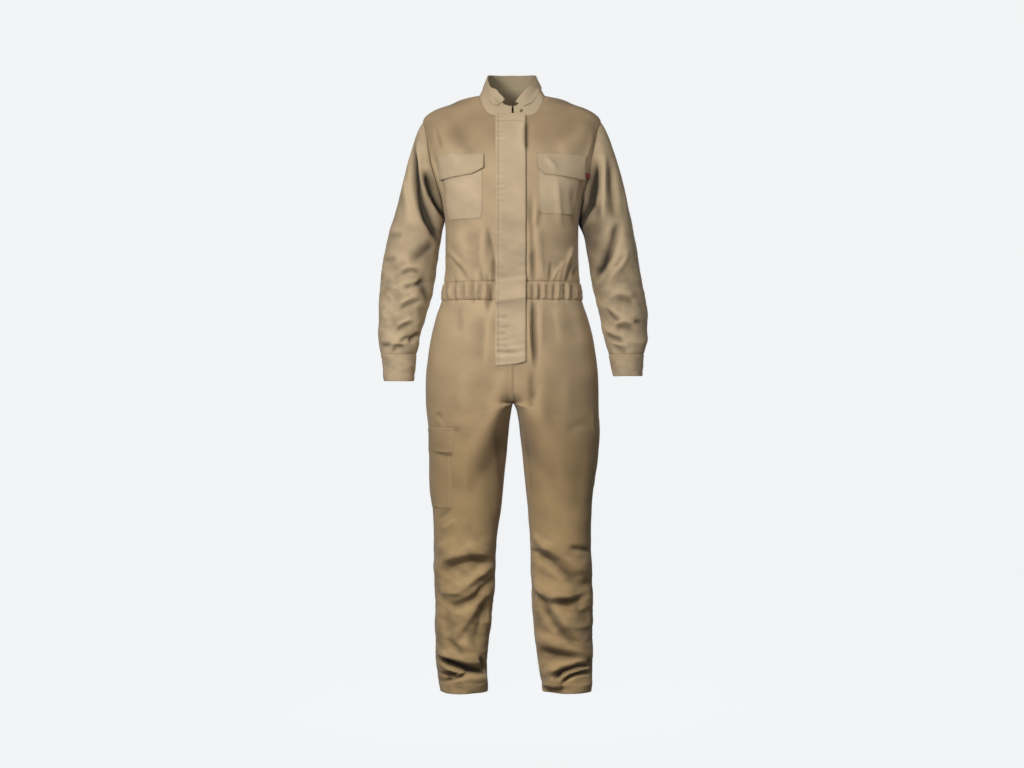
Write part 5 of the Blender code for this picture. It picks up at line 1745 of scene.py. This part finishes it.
class SUIT_OT_collar(bpy.types.Operator):
    """Make the neckband and the collar, worn turned up"""

    bl_idname = "suit.collar"
    bl_label = "Collar"

    def execute(self, context):
        thick = 2.2 * context.scene.suit_sizes.cloth
        # The inner side of the collar has a darker colour, a painted shade.
        looks = {"material": twill("pale twill"), "inside": twill("shaded inner twill")}

        def stand(u, v):
            turn = np.radians(blend(*STAND_TURNS, u))
            top = STAND_SHARE + 0.02 + 0.24 * eased(np.cos(turn) * 6 - 4.6)
            turned_in = 0.05 + 0.32 * eased(-1.6 * np.cos(turn))
            return collar(turn, blend(-turned_in, top, v))

        def fall(u, v):
            start, end = (foot + spread * v**0.8 for foot, spread in zip(FALL_FOOT_TURNS, FALL_SPREAD))
            return collar(np.radians(blend(start, end, u)), blend(STAND_SHARE - 0.03, 1, v))

        skin = grid(stand, steps(0, 1, 230), steps(0, 1, 12))
        roll = 0.0009 * swell(skin, (0.03, 0.03, 0.02), 21)
        skin = skin + (roll + 0.0006)[..., None] * normals_of(skin)
        cut_piece("collar_stand", skin, thick, (0.44, 0.027), "stretched", **looks)
        lines = rows_along(skin, ("top", "bottom", "left", "right"), [0.002])
        u, v = np.meshgrid(steps(0, 1, 230), steps(0, 1, 20))
        skin = fall(u, v)
        # Two soft folds at the front corners, a roll all over, and ends that stand off the neckband.
        turn = np.degrees(np.arctan2(skin[..., 0], -skin[..., 1]))
        fold = tent(np.abs(turn + blend(27, 60, v)) / 20) + 0.4 * tent(np.abs(turn - blend(34, 46, v)) / 22)
        ends = np.maximum(bump(u, 0.05), bump(1 - u, 0.05))
        roll = 0.0034 * fold + 0.0012 * swell(skin, (0.035, 0.035, 0.022), 23) + 0.0025 * ends * (1 - v)
        skin = skin + (roll + 0.0012)[..., None] * normals_of(skin)
        cut_piece("collar_fall", skin, thick, (0.40, 0.055), "stretched", 0.0106, **looks)
        lines += rows_along(skin, ("top", "left", "right"), [0.0055])
        stitches("collar_stitches", lines)
        return {"FINISHED"}


class SUIT_OT_placket(bpy.types.Operator):
    """Make the zip and the storm placket over it"""

    bl_idname = "suit.placket"
    bl_label = "Placket and zip"

    def execute(self, context):
        thick = context.scene.suit_sizes.cloth
        columns, rows = counts(0.072, 0.614)

        def offset(u, v, edges):
            """The placket stands off more towards its free edge and over the waistband, puckers beside its
            row of stitches and at its foot, and is drawn in along its seams."""
            height = blend(PLACKET_END, PLACKET_TOP, v)
            middle, half = (WAIST_TOP + WAIST_BOTTOM) / 2, (WAIST_TOP - WAIST_BOTTOM) / 2
            off = thick + LAY + 0.0010 + 0.0034 * eased((u - 0.25) / 0.75)
            off = off + 0.0038 * eased((half + 0.014 - np.abs(height - middle)) / 0.014)
            pucker = 0.0007 * np.sin(edges["bottom"] / 0.0021) * bump(edges["left"] - 0.012, 0.010)
            share = 0.6 + swell(edges["bottom"][..., None] * [1, 1, 1], (0.05,) * 3, 31)
            low = bump(v - 0.04, 0.06)
            ripple = 0.0012 * low * np.sin(edges["bottom"] / 0.0030 + 2 * u) * (1 - 0.5 * u)
            slant = height - WAIST_BOTTOM + 0.008 - 0.06 * (edges["left"] - 0.03)
            sewn = 0.0016 * bump(edges["left"] - 0.0075, 0.0014) + 0.0018 * bump(height - CROSS_SEAM, 0.0016)
            return off + pucker * share + ripple - (sewn + 0.0014 * bump(slant, 0.0018))

        # More columns and rows where the seams run.
        columns = np.unique(np.concatenate([steps(0, 1, columns + 6), steps(0.04, 0.18, 14)]))
        rows = np.unique(np.concatenate([steps(0, 1, rows), steps(0.900, 1, 60), steps(0.705, 0.735, 22)]))
        skin = folded(placket_surface, columns, rows, extra=offset)
        cut_piece("placket", skin, 2.0 * thick, (0.073, 0.615), material=twill("pale twill"))
        lines = rows_along(skin, ["left"], (0.0025, 0.009)) + rows_along(skin, ["right"], [0.003])
        lines += rows_along(skin, ["bottom"], (0.004, 0.0125)) + rows_along(skin, ["top"], [0.004])
        stitches("placket_stitches", lines)
        self.make_zip()
        return {"FINISHED"}

    def make_zip(self):
        """Tape behind the fronts' edges, two rows of teeth that mesh, and the slider at the top."""
        skin = grid(zip_surface, steps(0, 1, 9), steps(0, 1, 160))
        normals = normals_of(skin)
        skin = skin + (lift_of(skin, normals, "torso") - ZIP_DEPTH)[..., None] * normals
        looks = {"ending": "_tape", "material": zip_tape(), "slot": "zip_tape"}
        cut_piece("zip", skin, 0.0009, (ZIP_TAPE, 0.59), **looks)
        # Each tooth is a small block, by turns to the left and to the right of the tape's middle.
        middle, out = skin[:, 4], normals[:, 4]
        reach = lengths(middle, 0)
        at = np.arange(0.002, reach[-1] - 0.012, 0.0013)
        spot, up = along_line(at, reach, middle), along_line(at, reach, out)
        half = np.array([0.0019, 0.0010, 0.00050])
        corners = np.array([(x, y, z) for z in (-1, 1) for y in (-1, 1) for x in (-1, 1)]) * half
        sideways = np.where(np.arange(len(at)) % 2, 1, -1)[:, None] * [[0.0009, 0, 0]]
        points = (spot + 0.0010 * up + sideways)[:, None] + corners
        quads = np.array([(0, 2, 3, 1), (4, 5, 7, 6), (0, 1, 5, 4), (2, 6, 7, 3), (1, 3, 7, 5), (0, 4, 6, 2)])
        faces = quads[None] + 8 * np.arange(len(at))[:, None, None]
        teeth = mesh_of("zip_teeth", points.reshape(-1, 3), faces.reshape(-1, 4), material=brass())
        teeth.data.shade_flat()
        # The slider is a small barrel, widest below its middle.
        u, v = np.meshgrid(steps(0, 1, 17)[:-1], steps(0, 1, 7))
        turn = 2 * math.pi * u
        width = 0.0042 * np.abs(np.sin(math.pi * blend(0.12, 0.9, v))) ** 0.5
        x, y, z = spot[-1]
        barrel = [x + width * np.cos(turn), y - 0.0022 + 0.0020 * np.sin(turn), z + 0.0100 * v]
        looks = {"material": brass(), "slot": "metal"}
        slider = cloth("zip_slider", np.stack(barrel, axis=-1), 0.0008, tube=True, **looks)
        slider.data.set_sharp_from_angle(angle=math.radians(40))


class SUIT_OT_chest_pockets(bpy.types.Operator):
    """Make the chest pockets and their flaps"""

    bl_idname = "suit.chest_pockets"
    bl_label = "Chest pockets"

    def execute(self, context):
        thick = context.scene.suit_sizes.cloth
        columns, rows = counts(0.11, 0.15)
        pale, lines = twill("pale twill"), []

        def patch_offset(u, v, edges):
            return thick + LAY + 0.0030 * np.sin(math.pi * np.clip(v, 0, 1)) ** 2 * np.sin(math.pi * u)

        for side in SIDES:
            inner, outer = ("left", "right") if side == "left" else ("right", "left")

            def flap_offset(u, v, edges, inner=inner):
                curl = 0.0035 * (1 - v) ** 1.4 + 0.0025 * bump(edges[inner], 0.016) * (1 - v)
                return 2 * thick + LAY + 0.0010 + curl + 0.0028 * np.sin(math.pi * u) * (1 - v)

            edges = POCKETS[side]
            surface = partial(front_patch, side, edges, partial(pocket_edge, edges["bottom"]), POCKET_TOP)
            skin = folded(surface, steps(0, 1, columns + 8), steps(0, 1, rows + 8), extra=patch_offset)
            name, flat = "chest_pocket_" + side, (0.105, 0.152) if side == "right" else (0.110, 0.140)
            cut_piece(name, skin, 1.2 * thick, flat, rests_on=["front_" + side], material=pale)
            lines += rows_along(skin, (inner, outer, "bottom"), POCKET_ROWS)
            edges = FLAPS[side]
            surface = partial(front_patch, side, edges, partial(flap_edge, edges["corner"]), FLAP_TOP)
            skin = folded(surface, steps(0, 1, columns + 12), steps(0, 1, 24), extra=flap_offset)
            flap = "pocket_flap_" + side
            cut_piece(flap, skin, 2.0 * thick, (0.125, 0.056), rests_on=[name], material=pale)
            lines += rows_along(skin, ("top", inner, outer, "bottom"), POCKET_ROWS)
        stitches("chest_pocket_stitches", lines)
        return {"FINISHED"}


class SUIT_OT_thigh_pockets(bpy.types.Operator):
    """Make the tool pocket with its folded top, and the narrow side pocket"""

    bl_idname = "suit.thigh_pockets"
    bl_label = "Thigh pockets"

    def execute(self, context):
        lay = context.scene.suit_sizes.cloth
        thick = 1.2 * lay

        def inside(edges, end, spread):
            """0 at the sewn edges and one end, where the patch lies flat, and 1 away from them."""
            return eased(np.minimum(np.minimum(edges["left"], edges["right"]), edges[end]) / spread)

        def patch_offset(u, v, edges):
            fullness = 0.0020 * np.sin(math.pi * v) * np.sin(math.pi * u)
            return 0.0002 + inside(edges, "bottom", 0.005) * (lay + fullness)

        def top_offset(u, v, edges):
            share = inside(edges, "top", 0.006)
            return 0.0004 + lay + share * (lay + 0.0014 * (1 - v)) - 0.0008 * (1 - share)

        columns, rows = counts(0.17, 0.19)
        across = steps(0, 1, columns + 4)
        surface = partial(thigh_patch, "right", THIGH_POCKET_TURNS, THIGH_POCKET)
        skin = folded(surface, across, steps(0, 1, rows), extra=patch_offset)
        legs = ["trouser_front_right", "trouser_back_right"]
        cut_piece("thigh_pocket", skin, thick, (0.166, 0.192), rests_on=legs)
        lines = rows_along(skin, ("left", "right", "bottom"), POCKET_ROWS)
        surface = partial(thigh_patch, "right", THIGH_FLAP_TURNS, THIGH_FLAP)
        skin = folded(surface, across, steps(0, 1, 18), extra=top_offset)
        cut_piece("thigh_pocket_flap", skin, thick, (0.19, 0.060), rests_on=["thigh_pocket"])
        lines += rows_along(skin, ("top", "left", "right", "bottom"), [0.002])
        columns, rows = counts(0.12, 0.17)
        surface = partial(thigh_patch, "left", SIDE_POCKET_TURNS, SIDE_POCKET)
        skin = folded(surface, steps(0, 1, columns), steps(0, 1, rows), extra=patch_offset)
        legs = ["trouser_front_left", "trouser_back_left"]
        cut_piece("side_pocket", skin, thick, (0.119, 0.166), rests_on=legs)
        lines += rows_along(skin, ("left", "right", "bottom"), POCKET_ROWS)
        lines += rows_along(skin, ["top"], [0.015])
        stitches("thigh_pocket_stitches", lines)
        return {"FINISHED"}


class SUIT_OT_trims(bpy.types.Operator):
    """Make the neck stud and the small red tab"""

    bl_idname = "suit.trims"
    bl_label = "Stud and tab"

    def execute(self, context):
        thick = context.scene.suit_sizes.cloth
        # The stud's cap is a dome round the line that leads outwards from its place on the neckband.
        place = collar(np.array([math.radians(STUD_TURN)]), np.array([STUD_SHARE]))[0]
        out = unit(place * [1, 1, 0])
        along = np.array([-out[1], out[0], 0])
        u, v = np.meshgrid(steps(0, 1, 25)[:-1], steps(0, 1, 9))
        u, v = u[..., None], v[..., None]
        reach = np.maximum(STUD_RADIUS * np.sin(v * math.pi / 2), 0.0002)
        dome = 0.0013 * np.cos(v * math.pi / 2) + 0.0002 * np.cos(12 * v)
        ring = np.cos(2 * math.pi * u) * along + np.sin(2 * math.pi * u) * [0, 0, 1.0]
        skin = place + reach * ring[:, ::-1] + (dome + 0.0022) * out
        piece = cloth("neck_stud_cap", skin, 0.0008, tube=True, material=brass(), slot="metal")
        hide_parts("neck_stud")
        surface = partial(front_patch, "left", LABEL, *LABEL_HEIGHTS)
        above = lambda u, v, edges: thick + 0.0007 + 0.003 * u
        skin = folded(surface, steps(0, 1, 10), steps(0, 1, 14), extra=above)
        looks = {"ending": "_tape", "material": red_tape(), "slot": "tab"}
        cut_piece("label_tab", skin, 0.0006, (0.028, 0.013), "laid", rests_on=["front_left"], **looks)
        return {"FINISHED"}


class SUIT_OT_stage(bpy.types.Operator):
    """Make the floor, the background, the lights and the camera"""

    bl_idname = "suit.stage"
    bl_label = "Stage"

    def execute(self, context):
        scene = context.scene
        settings = scene.suit_stage
        scene.view_settings.view_transform = "Standard"
        self.backdrop(settings)
        self.world(scene, settings)
        self.light("key", (-1.30, -2.5, 0.05), (-0.05, 0.0, -0.24), 0.7, settings.key, 78)
        self.light("legs", (-0.52, -1.6, 0.40), (0.09, 0.0, -1.62), 0.4, settings.key * 0.21, 36)
        self.light("top", (0.6, -2.0, 1.5), (0.0, 0.0, 0.0), 0.8, settings.key * 0.12, 50)
        self.light("back", (0.9, 3.1, 0.2), (0.0, 0.0, -0.7), 1.2, settings.key * 1.15, 110)
        self.light("fill", (1.5, -2.7, -0.7), (0.0, 0.0, -0.9), 2.0, settings.key * 0.34, 100)
        camera = bpy.data.objects.new("camera", bpy.data.cameras.new("camera"))
        camera.location = (0, -EYE_DISTANCE, EYE_HEIGHT)
        camera.rotation_euler = (math.pi / 2, 0, 0)
        camera.data.lens = LENS
        camera.data.sensor_width = 36
        scene.collection.objects.link(camera)
        scene.camera = camera
        return {"FINISHED"}

    def backdrop(self, settings):
        """A flat floor of the background's own colour, which ends out of sight, so that every side shows."""
        reach, floor = 8.0, HEM - 0.004
        corners = [(x * reach, y * reach, floor) for x, y in ((-1, -1), (1, -1), (1, 1), (-1, 1))]
        mesh = bpy.data.meshes.new("floor")
        mesh.from_pydata(corners, [], [(0, 1, 2, 3)])
        floor_piece = bpy.data.objects.new("floor", mesh)
        bpy.context.scene.collection.objects.link(floor_piece)
        material, _, shader = principled("paper", Roughness=0.9, Specular_IOR_Level=0.0)
        shader.inputs["Base Color"].default_value = (*[0.02 * c for c in settings.backdrop], 1)
        shader.inputs["Emission Color"].default_value = (*settings.backdrop, 1)
        shader.inputs["Emission Strength"].default_value = 0.99
        mesh.materials.append(material)
        floor_piece.visible_diffuse = False
        floor_piece.visible_glossy = False
        floor_piece.visible_shadow = False

    def world(self, scene, settings):
        """The camera sees the backdrop's colour, and the suit is lit by a dimmer sky of the same colour."""
        world = bpy.data.worlds.new("studio")
        world.use_nodes = True
        scene.world = world
        tree = world.node_tree
        background = tree.nodes["Background"]
        background.inputs["Color"].default_value = (*settings.backdrop, 1)
        seen = node(tree, "LightPath").outputs["Is Camera Ray"]
        tree.links.new(ranged(tree, seen, settings.sky, 1.0), background.inputs["Strength"])

    def light(self, name, place, target, size, power, spread):
        """A square soft light, turned towards its target; a grid keeps its light within `spread` degrees."""
        data = bpy.data.lights.new(name, "AREA")
        data.size = size
        data.energy = power
        data.spread = math.radians(spread)
        lamp = bpy.data.objects.new(name, data)
        lamp.location = place
        away = np.array(place) - np.array(target)
        flat = math.hypot(away[0], away[1])
        lamp.rotation_euler = (math.atan2(flat, away[2]), 0, math.atan2(away[1], away[0]) + math.pi / 2)
        lamp.visible_camera = False
        bpy.context.scene.collection.objects.link(lamp)


OPERATORS = (
    SUIT_OT_stage,
    SUIT_OT_bodice,
    SUIT_OT_waistband,
    SUIT_OT_trousers,
    SUIT_OT_sleeves,
    SUIT_OT_collar,
    SUIT_OT_placket,
    SUIT_OT_chest_pockets,
    SUIT_OT_thigh_pockets,
    SUIT_OT_trims,
)


class VIEW3D_PT_boiler_suit(bpy.types.Panel):
    """The settings and the operators, in the sidebar"""

    bl_label = "Boiler suit"
    bl_idname = "VIEW3D_PT_boiler_suit"
    bl_space_type = "VIEW_3D"
    bl_region_type = "UI"
    bl_category = "Boiler suit"

    def draw(self, context):
        for settings in (context.scene.suit_sizes, context.scene.suit_colours, context.scene.suit_stage):
            for name in settings.__annotations__:
                self.layout.prop(settings, name)
        for operator in OPERATORS:
            self.layout.operator(operator.bl_idname)


CLASSES = (SuitSizes, SuitColours, StageSettings, *OPERATORS, VIEW3D_PT_boiler_suit)


def register():
    """Adds the classes and their settings."""
    for item in CLASSES:
        bpy.utils.register_class(item)
    bpy.types.Scene.suit_sizes = PointerProperty(type=SuitSizes)
    bpy.types.Scene.suit_colours = PointerProperty(type=SuitColours)
    bpy.types.Scene.suit_stage = PointerProperty(type=StageSettings)


def unregister():
    """Takes the settings and the classes out again."""
    del bpy.types.Scene.suit_sizes
    del bpy.types.Scene.suit_colours
    del bpy.types.Scene.suit_stage
    for item in reversed(CLASSES):
        bpy.utils.unregister_class(item)


def main():
    """Makes everything in order."""
    register()
    for operator in OPERATORS:
        name = operator.bl_idname.split(".")[1]
        getattr(bpy.ops.suit, name)()


if __name__ == "__main__":
    main()
